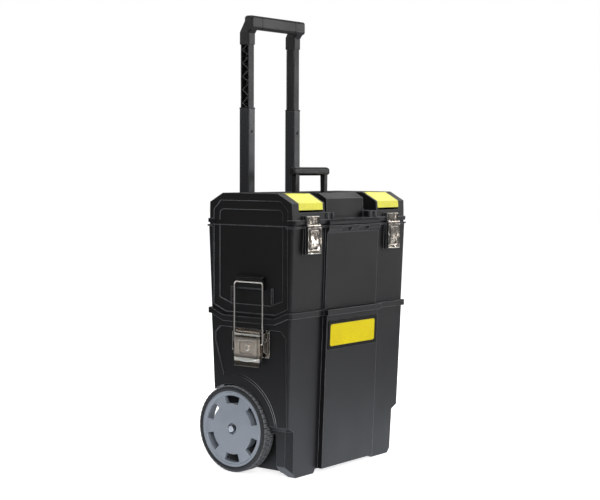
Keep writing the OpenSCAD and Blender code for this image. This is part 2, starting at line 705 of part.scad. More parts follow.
module latch_lever(left) color("#cfc9c2") at_latch(left) difference() {
    union() {
        // front skin with a rolled bottom edge, and its sides
        block([skin_x, -lever_w / 2, lever_low + 1.6], [skin_x + flap_t, lever_w / 2, lever_z - 4]);
        rod_y(-lever_w / 2, lever_w / 2, skin_x + 1.6, lever_low + 1.6, 1.6);
        for (s = [-1, 1])
                front_profile(rounded([[pivot_x - 5, lever_z - 5], [pivot_x - 2, lever_low + 22],
                                       [skin_x + 1, lever_low + 8],
                                                 [skin_x + 1, lever_z - 4], [pivot_x + 5, lever_z + 4],
                                                 [pivot_x + 1, lever_z + 6.5],
                                                 [pivot_x - 5, lever_z + 5]], [3, 4, 0, 0, 2, 2, 4]),
                                        s * (lever_w - flap_t) / 2 - flap_t / 2,
                                        s * (lever_w - flap_t) / 2 + flap_t / 2);
        // raised frame round a sunk panel with the lock in it
        difference() {
            translate([0, 0, frame_z])
                side_profile(rounded(rect(frame_w, frame_h), 6), skin_x + 0.5, frame_x);
            translate([0, 0, frame_z])
                    side_profile(rounded(rect(frame_w - 22, frame_h - 13), 4), skin_x + flap_t + 1,
                                 frame_x + 1);
        }
        rod_x(skin_x + flap_t, frame_x - 0.6, 0, frame_z, 8.5);
        side_profile(lip_view, skin_x + 0.5, frame_x + 1.5);
    }
    // slot between the frame and the hinge's roll
    block([skin_x - 1, 6 - lever_w / 2, lever_z - 12], [skin_x + flap_t + 1, lever_w / 2 - 6, lever_z - 8]);
    rod_y(-lever_w, lever_w, pivot_x, lever_z, pin_r + run_gap);
    rod_y(-lever_w, lever_w, bail_x, bail_z, bail_r + run_gap);
    block([frame_x - 2.5, -1, frame_z - 5], [frame_x + 1, 1, frame_z + 5]);
}

// Round wire, bent at both top corners, with its ends turned in to the lever
module bail(left) color("#d5d0ca") at_latch(left) translate([bail_x, 0, 0])
    rotate([90, 0, 90]) for (s = [0, 1]) mirror([s, 0, 0]) {
    translate([bail_w / 2, bail_z + foot_bend_r, 0]) rotate([-90, 0, 0])
        cylinder(h = bail_top - bail_z - bend_r - foot_bend_r, r = bail_r, $fn = 24);
    translate([bail_w / 2 - bend_r, bail_top - bend_r, 0]) rotate_extrude(angle = 90) translate([bend_r, 0])
        circle(r = bail_r, $fn = 24);
    translate([bail_w / 2 - foot_bend_r, bail_z + foot_bend_r, 0]) rotate([0, 0, -90])
        rotate_extrude(angle = 90)
        translate([foot_bend_r, 0]) circle(r = bail_r, $fn = 24);
    translate([0, bail_top, 0]) rotate([0, 90, 0]) cylinder(h = bail_w / 2 - bend_r, r = bail_r, $fn = 24);
    translate([lever_w / 2 - flap_t - 1, bail_z, 0]) rotate([0, 90, 0])
        cylinder(h = bail_w / 2 - foot_bend_r - lever_w / 2 + flap_t + 1, r = bail_r);
}

// Upper box ----------------------------------------------------------------

flange_h = 4;
box_flange = 4;
spigot_h = 8;
spigot_gap = 1.5;
recess_low = box_z0 + 8.7;
recess_high = lid_z1 - 18;
recess_half = box_d / 2 - 8;
inner_recess_low = recess_low + 17;
inner_dip = 13;
inner_recess_high = recess_high - 21;
inner_recess_half = recess_half - 17;
hinge_y = box_top_d / 2 + 5;
hinge_r = 4.5;
hinge_pin_r = 2;
hinge_x = 170;
hinge_half = 20;
knuckle_half = 9.7;
pad_w = hasp_w + 2;
pad_low = box_z1 - hasp_len;
pad_face = box_top_d / 2 + 6;
catch_half = 40;
catch_face = bail_x - bail_r - 0.4;
ledge_h = 9;
lock_x = 36;
tray_low = box_z1 - 55;
tray_h = 38;
tray_front = box_d / 2 - 5;
ledge_w = 12;
guard_y = 62;
hollow_half = 20;

// Half depth of the upper box's flared walls at height z
function box_half_d(z) = between(z, box_z0, box_d, box_z1, box_top_d) / 2;

// The stepped recess that runs over the end of both box and lid
module end_recess() both_ends() {
    side_profile([[-recess_half, recess_low], [dip_run - recess_half, recess_low - end_dip],
                  [recess_half - dip_run, recess_low - end_dip], [recess_half, recess_low],
                  [recess_half, recess_high - 22],
                  [recess_half - 22, recess_high], [22 - recess_half, recess_high],
                  [-recess_half, recess_high - 22]],
                 panel_x, lid_w);
    side_profile(rounded([[-inner_recess_half, inner_recess_low],
                          [dip_run - inner_recess_half, inner_recess_low - inner_dip],
                          [inner_recess_half - dip_run, inner_recess_low - inner_dip],
                          [inner_recess_half, inner_recess_low],
                          [inner_recess_half, inner_recess_high], [-inner_recess_half, inner_recess_high]],
                          [0, 0, 0, 0, 12, 12]),
                 panel_in_x, lid_w);
}

module box_outside() {
    drafted(box_w, box_d, box_z0, box_top_w, box_top_d, box_z1, corner_r);
    side_profile([[-box_d / 2 - box_step, box_z0], [0, box_z0], [0, box_z1],
                  [-box_top_d / 2 - box_step, box_z1]],
                 -front_mid_w / 2, front_mid_w / 2);
    translate([0, 0, box_z1 - flange_h]) linear_extrude(flange_h)
        plan(box_top_w + 2 * box_flange, box_top_d + 2 * box_flange, corner_r + box_flange);
    // skirts that fill the dips in the bin's rim
    both_ends() side_profile(concat(parting(seat_gap), [[dip_half, box_z0 + 1], [-dip_half, box_z0 + 1]]),
                             end_in, box_w / 2);
    // ledge for the padlocks, under the lid's pull
    side_profile([[-box_top_d / 2 - 4, box_z1 - ledge_h - 11], [-ledge_out, box_z1 - ledge_h],
                  [-ledge_out, box_z1], [-100, box_z1]],
                 -front_mid_w / 2, front_mid_w / 2);
    // pads behind the front latches
    both_ends() side_profile([[-100, pad_low], [-pad_face, pad_low], [-pad_face, box_z1], [-100, box_z1]],
                             hasp_x - pad_w / 2, hasp_x + pad_w / 2);
}

module box_inside() difference() {
    union() {
        drafted(2 * end_in, box_d - 2 * wall, box_z0 + wall, 2 * end_in + box_flare_w, box_top_d - 2 * wall,
                box_z1 + 1, corner_r - wall + 1);
        side_profile([[-box_d / 2 - box_step + wall, box_z0 + wall + 2], [0, box_z0 + wall + 2],
                      [0, box_z1 + 1],
                      [-box_top_d / 2 - box_step + wall, box_z1 + 1]], -front_mid_w / 2 + wall,
                      front_mid_w / 2 - wall);
    }
    block([-bay_w / 2 - wall, recess_y - wall, 0], [bay_w / 2 + wall, box_d, lid_z1]);
}

module upper_box() color("#26272a") on_boxes() difference() {
    union() {
        difference() {
            box_outside();
            end_recess();
            box_inside();
            block([-bay_w / 2, recess_y, box_z0 - 1], [bay_w / 2, box_d, lid_z1]);
        }
        // spigot that drops into the bin's rim
        translate([0, 0, bin_h - spigot_h]) linear_extrude(spigot_h + seat_gap + 1) difference() {
            plan(bin_top_w - 2 * (wall + pocket_deep + spigot_gap), bin_top_d - 2 * (wall + spigot_gap),
                 corner_r - wall);
            plan(bin_top_w - 2 * (2 * wall + pocket_deep + spigot_gap),
                 bin_top_d - 2 * (2 * wall + spigot_gap), 2);
            translate([0, bin_top_d / 2])
                    square([2 * (tube_x + channel_half + wall + spigot_gap),
                            2 * (bin_top_d / 2 - guide_face + wall + spigot_gap)], center = true);
        }
        both_ends() {
            // guards beside the side latches
            for (s = [-1, 1]) translate([0, s * guard_y - latch_fore, 0])
                side_profile([[-2, inner_recess_low - 8], [2, inner_recess_low - 8], [2, bail_top - 14],
                              [-2, bail_top - 14]], panel_in_x - 1, box_w / 2);
            // ledge that the tray rests on
            side_profile([[-tray_front, tray_low - 8], [tray_d - tray_front, tray_low - 8],
                          [tray_d - tray_front, tray_low - seat_gap],
                          [-tray_front, tray_low - seat_gap]], end_in - ledge_w, panel_in_x - 0.5);
            // hinge lugs
            for (s = [-1, 1])
                    hinge_lug(hinge_x + s * (hinge_half + knuckle_half + seat_gap) / 2,
                              (hinge_half - knuckle_half - seat_gap) / 2);
        }
    }
    both_ends() {
        rod_x(hinge_x - hinge_half - 1, hinge_x + hinge_half + 1, hinge_y, seam_z, hinge_pin_r);
        rod_x(hinge_x - knuckle_half - seat_gap, hinge_x + knuckle_half + seat_gap, hinge_y, seam_z,
              hinge_r + 0.6);
        // hollow and eye for a padlock
        block([lock_x - hollow_half, -ledge_out - 1, box_z1 - ledge_h - 12],
              [lock_x + hollow_half, -box_top_d / 2 - box_step - 0.5, box_z1 - 5]);
        translate([lock_x, 4.5 - ledge_out, box_z1 - 8]) cylinder(h = 10, r = eye_r - 1);
    }
}

// A hinge knuckle of the box with its foot on the back wall
module hinge_lug(x, half) {
    rod_x(x - half, x + half, hinge_y, seam_z, hinge_r);
    side_profile([[box_top_d / 2 - 1, box_z1 - 16], [hinge_y + hinge_r - 0.5, box_z1 - 3],
                  [hinge_y + hinge_r - 0.1, seam_z],
                  [box_top_d / 2 + 0.6, seam_z], [box_top_d / 2 + 0.6, box_z1],
                  [box_top_d / 2 - 1, box_z1]], x - half, x + half);
}

module hinge_pins() color("#9a9da0") on_boxes() both_ends()
    rod_x(hinge_x - hinge_half, hinge_x + hinge_half, hinge_y, seam_z, hinge_pin_r);

// Block on the end of the box that the bail hooks over
module catch_block(left) color("#1d1e20") at_latch(left)
    front_profile([[panel_in_x + 0.05, bail_top - 18], [catch_face - 4, bail_top - 18],
                   [catch_face, bail_top - 14],
                   [catch_face, bail_top - 5], [catch_face - 5, bail_top - 4],
                   [catch_face - 5, bail_top + 4],
                   [catch_face, bail_top + 5], [catch_face, bail_top + 10], [catch_face - 4, bail_top + 13],
                   [panel_in_x + 0.05, bail_top + 13]],
                  -catch_half, catch_half);

// Lid ----------------------------------------------------------------------

lid_wall = 2.5;
lid_flat = lid_d / 2 - 2.5 - slope_run;
brow_z = lid_z1 - slope_drop;
brow_y = lid_d / 2 - 3;
bump_z0 = lid_z0 + 4.5;
bump_z1 = bump_z0 + 10;
bump_out = 5.5;
shelf_z = bump_z1;
tongue_y = lid_d / 2 - 20;
tongue_z = lid_z1 - 8;
channel_z = lid_z0 + 30.6;
channel_back = lid_d / 2 - 70;
cover_x0 = lid_mid_w / 2 + 6;
cover_x1 = cover_x0 + cover_w;
cover_back = lid_d / 2 - 100;
cover_y = cover_back + 3.8;
cover_low = lid_z0 + 37;
cover_t = 2.5;
cover_gap = 0.5;
cover_top = lid_z1 - 1.2;
cover_pin_z = cover_top - 2.6;
cover_pin_r = 1.8;
carry_z = lid_z1 - 10;
carry_pin_r = 2.5;
carry_deep = 28;
pocket_w = carry_w + 8;
pocket_front = carry_h + 5;
pocket_back = 24;
leg_w = 12;
leg_x = carry_w / 2 - 8 - leg_w;
deck_z = shelf_z;

// Side view of the lid's skin, drawn in by t
function skin(t) = [[-lid_d / 2 + t, lid_z0 - (t > 0 ? 1 : 0)], [-lid_d / 2 + t, bump_z0],
                    [-brow_y + t, brow_z - t / 3],
                    [-lid_flat + t / 4, lid_z1 - t], [lid_flat - t / 4, lid_z1 - t],
                    [brow_y - t, brow_z - t / 3],
                    [lid_d / 2 - t, bump_z0], [lid_d / 2 - t, lid_z0 - (t > 0 ? 1 : 0)]];

// Everything cut into the lid from above, with t left round it as the wall
module lid_cuts(t) {
    high = lid_z1 + 10;
    // shelf in front of the tongue, and the channels beside it
    side_profile([[-lid_d, shelf_z - t], [-tongue_y + t, shelf_z - t], [-tongue_y + t, tongue_z],
                  [-lid_flat + t / 2, lid_z1 - t / 2],
                  [-lid_flat + t, high], [-lid_d, high]], -tongue_w / 2 - t, tongue_w / 2 + t);
    both_ends() side_profile([[-lid_d, channel_z - t], [-channel_back - 30 + t / 2, channel_z - t],
                              [-channel_back + t, lid_z1 - t],
                              [-channel_back + t, high], [-lid_d, high]], tongue_w / 2 - t,
                              lid_mid_w / 2 + t);
    // organisers
    both_ends() side_profile([[-brow_y + (t > 0 ? t : 0) - 3, lid_z1 - organiser_d - t],
                              [-cover_back + t, lid_z1 - organiser_d - t],
                              [-cover_back + t, high], [-lid_d, high], [-lid_d, cover_low - t],
                              [-brow_y - 3 + t, cover_low - t]],
                             cover_x0 - t, cover_x1 + t);
    // pocket of the carry handle
    block([-pocket_w / 2 - t, -pocket_front - t, lid_z1 - carry_deep - t],
          [pocket_w / 2 + t, pocket_back + t, high]);
    // bay of the telescopic handle
    side_profile([[bay_y - t, deck_z - t], [recess_y - 4.5 - t, deck_z - t],
                  [recess_y - 0.5 - t, lid_z0 + 5.6 - t / 2], [recess_y - 0.5 - t, lid_z0 - 5],
                  [lid_d, lid_z0 - 5], [lid_d, high], [bay_y - t, high]], -bay_w / 2 - t, bay_w / 2 + t);
}

module lid() color("#232427") on_boxes() difference() {
    union() {
        difference() {
            union() {
                intersection() {
                    side_profile(skin(0), -lid_w / 2, lid_w / 2);
                    translate([0, 0, lid_z0 - 1]) linear_extrude(lid_h + 2) plan(lid_w, lid_d, corner_r);
                }
                translate([0, 0, bump_z0]) linear_extrude(bump_z1 - bump_z0) difference() {
                    plan(lid_w + 4, lid_d + 2 * bump_out, corner_r + 3);
                    for (s = [-1, 1]) translate([s * lid_w / 2, 0])
                        square([30, 2 * recess_half], center = true);
                }
                // pads behind the front latches' plates
                both_ends() side_profile([[-100, lid_z0 + 2], [-pad_face - 0.5, lid_z0 + 2],
                                          [-pad_face - 0.5, bump_z1 + 10], [-100, bump_z1 + 10]],
                                         hasp_x - pad_w / 2, hasp_x + pad_w / 2);
                // pull
                side_profile([[-100, lid_z0 + 2], [-ledge_out + 0.5, lid_z0 + 2],
                              [-ledge_out + 0.5, lid_z0 + 8.5], [-ledge_out + 5, bump_z1], [-100, bump_z1]],
                             -front_mid_w / 2 + 2, front_mid_w / 2 - 2);
            }
            end_recess();
            difference() {
                side_profile(skin(lid_wall), -panel_in_x + lid_wall, panel_in_x - lid_wall);
                lid_cuts(lid_wall);
            }
            lid_cuts(0);
        }
        // ribs on the fronts of the channels
        both_ends() for (x = [tongue_w / 2 + 2, lid_mid_w / 2 - 8])
            side_profile([[-lid_d / 2 + 4, bump_z1 - 1], [-lid_d / 2 - 4, bump_z1 - 1],
                          [-lid_d / 2 - 2, channel_z], [-lid_d / 2 + 4, channel_z]], x - 1.5, x + 1.5);
        // lugs of the carry handle
        both_ends() for (x = [leg_x - 4 - seat_gap, leg_x + leg_w + 4 + seat_gap])
            side_profile(rounded([[-12, lid_z1 - carry_deep - 1], [12, lid_z1 - carry_deep - 1],
                                  [6, carry_z + 6], [-6, carry_z + 6]], [0, 0, 5, 5]), x - 4, x + 4);
        // hinge knuckles
        both_ends() {
            rod_x(hinge_x - knuckle_half, hinge_x + knuckle_half, hinge_y, seam_z, hinge_r);
            side_profile([[lid_d / 2 - 2, bump_z0 + 0.5], [hinge_y - 1, seam_z], [hinge_y + 3, seam_z + 2],
                          [lid_d / 2 + 3, bump_z1], [lid_d / 2 - 2, bump_z1]],
                         hinge_x - knuckle_half, hinge_x + knuckle_half);
        }
    }
    both_ends() {
        rod_x(hinge_x - hinge_half - 1, hinge_x + hinge_half + 1, hinge_y, seam_z, hinge_pin_r + run_gap);
        for (s = [-1, 1])
                rod_x(hinge_x + s * (hinge_half + knuckle_half) / 2 - 6,
                      hinge_x + s * (hinge_half + knuckle_half) / 2 + 5.6, hinge_y, seam_z, hinge_r + 0.6);
        rod_x(leg_x - 9, leg_x + leg_w + 9, 0, carry_z, carry_pin_r);
        // bores for the covers' pins, and room for their barrels
        rod_x(cover_x0 - 2.4, cover_x1 + 2.4, -cover_y, cover_pin_z, cover_pin_r + run_gap);
        rod_x(cover_x0, cover_x1, -cover_y, cover_pin_z, cover_t + 0.6);
        translate([lock_x, 4.5 - ledge_out, lid_z0]) cylinder(h = 30, r = eye_r - 1);
    }
}

// Cover of an organiser: it follows the lid's skin and hinges at the back
module cover(left) color("#eddf4a") at_end(left) {
    front = -between(cover_low + cover_gap, bump_z0, lid_d / 2, brow_z, brow_y);
    side_profile([[front, cover_low + cover_gap], [-brow_y, brow_z],
                  [-between(cover_top, brow_z, brow_y, lid_z1, lid_flat), cover_top], [-cover_y, cover_top],
                  [-cover_y, cover_top - cover_t], [-lid_flat + 0.7, cover_top - cover_t],
                  [-brow_y + cover_t, brow_z - 0.8],
                  [front + cover_t, cover_low + cover_gap]], cover_x0 + cover_gap, cover_x1 - cover_gap);
    rod_x(cover_x0 + cover_gap, cover_x1 - cover_gap, -cover_y, cover_pin_z, cover_t);
    rod_x(cover_x0 - 2.2, cover_x1 + 2.2, -cover_y, cover_pin_z, cover_pin_r);
}

carry_top = carry_z + carry_h;
carry_grip_h = 21;

module carry_handle() color("#1d1e20") on_boxes() difference() {
    union() {
        hull() for (s = [-1, 1]) {
            translate([s * (carry_w / 2 - 3), 0, carry_top - carry_grip_h / 2]) rotate([90, 0, 90])
                linear_extrude(6, center = true) polygon(rounded(rect(14, carry_grip_h - 4), 6, 5));
            translate([s * (carry_w / 2 - 10), 0, carry_top - carry_grip_h / 2]) rotate([90, 0, 90])
                linear_extrude(6, center = true) polygon(rounded(rect(17, carry_grip_h), 7, 5));
        }
        both_ends() {
            side_profile([[-6, carry_z], [6, carry_z], [7, carry_top - carry_grip_h + 4],
                          [-7, carry_top - carry_grip_h + 4]], leg_x, leg_x + leg_w);
            rod_x(leg_x, leg_x + leg_w, 0, carry_z, 9);
        }
    }
    both_ends() rod_x(leg_x - 1, leg_x + leg_w + 1, 0, carry_z, carry_pin_r + run_gap);
}

module carry_pins() color("#9a9da0") on_boxes() both_ends()
    rod_x(leg_x - 7.5, leg_x + leg_w + 7.5, 0, carry_z, carry_pin_r);

// Front latches ------------------------------------------------------------

hasp_t = 1.6;
hasp_z = lid_z0 + 1.6;
hasp_y = pad_face + 4.2;
hasp_pin_r = 1.5;
hasp_barrel = 2.8;
hasp_low = hasp_z - hasp_len;
slot_z = hasp_low + 14;

// Two stiffening beads pressed along a hasp's sides
module hasp_beads(y, z0, z1)
    for (s = [-1, 1]) translate([hasp_x + s * (hasp_w / 2 - 4.5), y, z0]) cylinder(h = z1 - z0, r = 2.2, $fn = 24);

module hasp_plates() color("#c5bfb8") on_boxes() both_ends() difference() {
    union() {
        block([hasp_x - hasp_w / 2 + 1, -pad_face - 0.5 - hasp_t - 0.05, hasp_z + 1],
              [hasp_x + hasp_w / 2 - 1, -pad_face - 0.55, bump_z1 + 9]);
        hasp_beads(-pad_face - 1.3 - hasp_t, hasp_z + 4, bump_z1 + 7.5);
        for (s = [-1, 1]) {
            rod_x(hasp_x + s * (hasp_w / 2 - 6) - 5, hasp_x + s * (hasp_w / 2 - 6) + 5, -hasp_y, hasp_z,
                  hasp_barrel);
            block([hasp_x + s * (hasp_w / 2 - 6) - 5, -hasp_y, hasp_z],
                  [hasp_x + s * (hasp_w / 2 - 6) + 5, -pad_face - 0.55, hasp_z + hasp_barrel]);
        }
    }
    rod_x(hasp_x - hasp_w, hasp_x + hasp_w, -hasp_y, hasp_z, hasp_pin_r);
    rod_x(hasp_x - hasp_w / 2 + 11, hasp_x + hasp_w / 2 - 11, -hasp_y, hasp_z, hasp_barrel + 0.5);
}

module hasp(left) color("#cfc9c2") at_end(left) difference() {
    union() {
        rod_x(hasp_x - hasp_w / 2 + 11.4, hasp_x + hasp_w / 2 - 11.4, -hasp_y, hasp_z, hasp_barrel);
        // leaf with flanged sides and a raised middle
        block([hasp_x - hasp_w / 2 + 11.4, -hasp_y - hasp_barrel, hasp_z - 8],
              [hasp_x + hasp_w / 2 - 11.4, -hasp_y - hasp_barrel + hasp_t, hasp_z]);
        block([hasp_x - hasp_w / 2, -hasp_y - hasp_barrel, hasp_low + 6],
              [hasp_x + hasp_w / 2, -hasp_y - hasp_barrel + hasp_t, hasp_z - 5]);
        side_profile([[-hasp_y - hasp_barrel, hasp_low + 8], [-hasp_y - hasp_barrel - 4.5, hasp_low + 1],
                      [-hasp_y - hasp_barrel - 3.6, hasp_low],
                      [-hasp_y - hasp_barrel + hasp_t, hasp_low + 6.5]], hasp_x - hasp_w / 2 + 6,
                      hasp_x + hasp_w / 2 - 6);
        for (s = [-1, 1])
                side_profile([[-hasp_y - hasp_barrel, hasp_low + 6], [-hasp_y - hasp_barrel, hasp_z - 5],
                              [-hasp_y + 1.6, hasp_z - 6],
                                        [-hasp_y + 1.6, hasp_low + 20]],
                                                hasp_x + s * (hasp_w / 2 - hasp_t / 2) - hasp_t / 2,
                                                hasp_x + s * (hasp_w / 2 - hasp_t / 2) + hasp_t / 2);
        front_profile(rounded([[hasp_x - 15, slot_z + 10], [hasp_x + 15, slot_z + 10],
                               [hasp_x + 15, hasp_z - 12], [hasp_x - 15, hasp_z - 12]], 4),
                      -hasp_y - hasp_barrel - 1.6, -hasp_y - hasp_barrel + 0.5);
        hasp_beads(-hasp_y - hasp_barrel + 0.6, hasp_low + 8, hasp_z - 6.5);
    }
    rod_x(hasp_x - hasp_w, hasp_x + hasp_w, -hasp_y, hasp_z, hasp_pin_r + run_gap);
    block([hasp_x - 9, -hasp_y - hasp_barrel - 1, slot_z - 3.5], [hasp_x + 9, -hasp_y, slot_z + 3.5]);
}

module hasp_pins() color("#a9a49e") on_boxes() both_ends()
    rod_x(hasp_x - hasp_w / 2 + 1, hasp_x + hasp_w / 2 - 1, -hasp_y, hasp_z, hasp_pin_r);

// Strike plate on the box; its hook stands just behind the hasp's slot
module hasp_strikes() color("#c5bfb8") on_boxes() both_ends() {
    front_profile(rounded([[hasp_x - 18, pad_low + 2], [hasp_x + 18, pad_low + 2],
                           [hasp_x + 18, slot_z + 10], [hasp_x - 18, slot_z + 10]], 3),
                  -pad_face - 1.25, -pad_face - 0.05);
    side_profile([[-pad_face - 1, slot_z - 5], [-pad_face - 1, slot_z + 1],
                  [-hasp_y - hasp_barrel + hasp_t + 0.4, slot_z + 3],
                  [-hasp_y - hasp_barrel + hasp_t + 0.4, slot_z + 0.5], [-pad_face - 2.6, slot_z - 1.5],
                  [-pad_face - 2.6, slot_z - 5]],
                 hasp_x - 7.5, hasp_x + 7.5);
}

// Tray ---------------------------------------------------------------------

tray_x = end_in - 4;
tray_wall = 2;
divider_x = 90;

module tray() color("#3a3b3e") on_boxes() difference() {
    block([-tray_x, -tray_front, tray_low], [tray_x, tray_d - tray_front, tray_low + tray_h]);
    for (x = [[-tray_x + tray_wall, -divider_x - 1], [-divider_x + 1, divider_x - 1],
              [divider_x + 1, tray_x - tray_wall]])
        block([x[0], -tray_front + tray_wall, tray_low + tray_wall],
              [x[1], tray_d - tray_front - tray_wall, tray_low + tray_h + 1]);
}

module tray_grip() color("#1d1e20") on_boxes() {
    mid = tray_d / 2 - tray_front;
    difference() {
        side_profile([[mid - 5, tray_low + tray_h - 12], [mid + 5, tray_low + tray_h - 12],
                      [mid + 5, tray_low + tray_h + 22], [mid - 5, tray_low + tray_h + 22]],
                     -divider_x - 4, divider_x + 4);
        side_profile([[mid - 6, 0], [mid + 6, 0], [mid + 6, tray_low + tray_h + 12],
                      [mid - 6, tray_low + tray_h + 12]], -divider_x + 8, divider_x - 8);
        for (x = [-divider_x, divider_x])
            block([x - 1.05, -tray_front, 0], [x + 1.05, tray_d, tray_low + tray_h + 0.05]);
    }
}

lower_bin();
label_frame();
label_plate();
axle();
axle_caps();
guide(true);  // guide_left
guide(false);  // guide_right
guide_screws();
tyre(true);  // tyre_left
tyre(false);  // tyre_right
hub(true);  // hub_left
hub(false);  // hub_right
middle_tubes();
tube_collars();
tube_bridge();
inner_tube(true);  // inner_tube_left
inner_tube(false);  // inner_tube_right
grip();
upper_button(true);  // upper_button_left
upper_button(false);  // upper_button_right
lower_button(true);  // lower_button_left
lower_button(false);  // lower_button_right
latch_base(true);  // latch_base_left
latch_base(false);  // latch_base_right
latch_lever(true);  // latch_lever_left
latch_lever(false);  // latch_lever_right
latch_pin(true);  // latch_pin_left
latch_pin(false);  // latch_pin_right
latch_rivets();
bail(true);  // bail_left
bail(false);  // bail_right
upper_box();
hinge_pins();
catch_block(true);  // catch_left
catch_block(false);  // catch_right
lid();
cover(true);  // cover_left
cover(false);  // cover_right
carry_handle();
carry_pins();
hasp_plates();
hasp(true);  // hasp_left
hasp(false);  // hasp_right
hasp_pins();
hasp_strikes();
tray();
tray_grip();
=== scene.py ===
import json
import math

import bmesh
import bpy
from mathutils import Matrix, Vector


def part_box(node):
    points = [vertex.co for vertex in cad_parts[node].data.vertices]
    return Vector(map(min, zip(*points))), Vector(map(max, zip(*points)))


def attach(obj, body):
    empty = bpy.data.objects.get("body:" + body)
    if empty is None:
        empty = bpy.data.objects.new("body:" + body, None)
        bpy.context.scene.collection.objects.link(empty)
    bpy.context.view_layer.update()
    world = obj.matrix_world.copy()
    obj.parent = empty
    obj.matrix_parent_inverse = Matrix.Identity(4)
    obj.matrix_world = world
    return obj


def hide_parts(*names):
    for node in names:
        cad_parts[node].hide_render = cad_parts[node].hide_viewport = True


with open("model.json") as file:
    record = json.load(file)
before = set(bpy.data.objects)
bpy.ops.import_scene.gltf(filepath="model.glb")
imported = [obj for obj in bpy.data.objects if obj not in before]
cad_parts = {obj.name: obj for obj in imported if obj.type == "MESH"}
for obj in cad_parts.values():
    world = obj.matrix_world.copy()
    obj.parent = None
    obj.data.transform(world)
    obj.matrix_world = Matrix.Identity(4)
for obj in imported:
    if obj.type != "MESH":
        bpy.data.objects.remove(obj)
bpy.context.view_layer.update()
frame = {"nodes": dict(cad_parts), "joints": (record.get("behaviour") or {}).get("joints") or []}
nodes = frame["nodes"]

# ---------------------------------------------------------------------------
# Studio: seamless white paper under and behind the tool box. Three soft boxes stand one above
# another at its front right, and others at the camera's side, overhead and behind. Three
# smaller ones draw the lid's ridge and the left end.


def srgb(code):
    """A hex colour as linear red, green, blue and alpha."""
    parts = [int(code[i:i + 2], 16) / 255 for i in (1, 3, 5)]
    return [c / 12.92 if c <= 0.04045 else ((c + 0.055) / 1.055) ** 2.4 for c in parts] + [1.0]


def add(tree, kind, inputs=None, **settings):
    """Adds a node with its settings, and its inputs from values or from other nodes' outputs."""
    node = tree.nodes.new(kind)
    for name, value in settings.items():
        setattr(node, name, value)
    for name, value in (inputs or {}).items():
        if isinstance(value, bpy.types.NodeSocket):
            tree.links.new(value, node.inputs[name])
        else:
            node.inputs[name].default_value = value
    return node


def span(low, high, start=0.0, end=1.0):
    """A Map Range node's inputs that take low to start and high to end."""
    return {"From Min": low, "From Max": high, "To Min": start, "To Max": end}


def blank(owner):
    """The emptied node tree of a material or a world."""
    owner.use_nodes = True
    owner.node_tree.nodes.clear()
    return owner.node_tree


# A colour Mix node's two colours and its result, by number, because sockets share their names
COLOUR_A, COLOUR_B, MIXED = 6, 7, 2

scene = bpy.context.scene
scene.view_settings.view_transform = "Standard"

yaw, pitch, roll = math.radians(51.716), math.radians(3.148), math.radians(-0.2026)
stand = Vector((-2.6836, -2.0983, 0.7338))
ahead = Vector((math.sin(yaw) * math.cos(pitch), math.cos(yaw) * math.cos(pitch), -math.sin(pitch)))
right = Vector((math.cos(yaw), -math.sin(yaw), 0))
above = right.cross(ahead)
turn = Matrix.Rotation(roll, 3, ahead)
right, above = turn @ right, turn @ above
camera = bpy.data.objects.new("camera", bpy.data.cameras.new("camera"))
camera.matrix_world = Matrix((
    (right.x, above.x, -ahead.x, stand.x),
    (right.y, above.y, -ahead.y, stand.y),
    (right.z, above.z, -ahead.z, stand.z),
    (0, 0, 0, 1)))
camera.data.sensor_width = 36
camera.data.lens = 81.66
camera.data.shift_x = -0.0013
camera.data.shift_y = -0.0120
camera.data.clip_end = 60
scene.collection.objects.link(camera)
scene.camera = camera

sheet = bmesh.new()
bmesh.ops.create_grid(sheet, x_segments=2, y_segments=2, size=14)
mesh = bpy.data.meshes.new("floor")
sheet.to_mesh(mesh)
sheet.free()
floor = bpy.data.objects.new("floor", mesh)
floor.location.z = -0.0004  # a hair under the tyres, so that no two faces coincide
scene.collection.objects.link(floor)

# Matt paper, which a camera exposed for a black object shows as plain white with a faint
# shadow. So the camera sees light of its own added, more of it further off, and shiny parts
# see it bright nearby and dark in the distance
paper = bpy.data.materials.new("seamless_paper")
tree = blank(paper)
path = add(tree, "ShaderNodeLightPath")
spot = add(tree, "ShaderNodeTexCoord")
away = add(tree, "ShaderNodeVectorMath", {0: spot.outputs["Object"]}, operation="LENGTH")
away = away.outputs["Value"]
plain = add(tree, "ShaderNodeMapRange", {"Value": away, **span(0.5, 1.1, 0.80, 1.02)})
mirrored = add(tree, "ShaderNodeMapRange", {"Value": away, **span(0.35, 1.15, 2.4, 0.02)})
shine = add(tree, "ShaderNodeMath", {0: path.outputs["Is Glossy Ray"], 1: mirrored.outputs[0]},
            operation="MULTIPLY")
level = add(tree, "ShaderNodeMix", {"Factor": path.outputs["Is Camera Ray"],
                                    "A": shine.outputs[0], "B": plain.outputs[0]})
distant = add(tree, "ShaderNodeMapRange", {"Value": away, **span(0.9, 2.8, 0.0, 0.92)})
unlit = add(tree, "ShaderNodeMath", {0: path.outputs["Is Glossy Ray"], 1: distant.outputs[0]},
            operation="MULTIPLY")
shade = add(tree, "ShaderNodeMix", {"Factor": unlit.outputs[0], COLOUR_A: srgb("#e4e4e4"),
                                    COLOUR_B: srgb("#101010")}, data_type="RGBA")
matt = add(tree, "ShaderNodeBsdfDiffuse", {"Color": shade.outputs[MIXED]})
hue = add(tree, "ShaderNodeMix", {"Factor": path.outputs["Is Glossy Ray"],
                                  COLOUR_A: srgb("#ffffff"), COLOUR_B: srgb("#e9f0fb")},
          data_type="RGBA")
glow = add(tree, "ShaderNodeEmission", {"Color": hue.outputs[MIXED], "Strength": level.outputs[0]})
both = add(tree, "ShaderNodeAddShader", {0: matt.outputs[0], 1: glow.outputs[0]})
add(tree, "ShaderNodeOutputMaterial", {"Surface": both.outputs[0]})
floor.data.materials.append(paper)

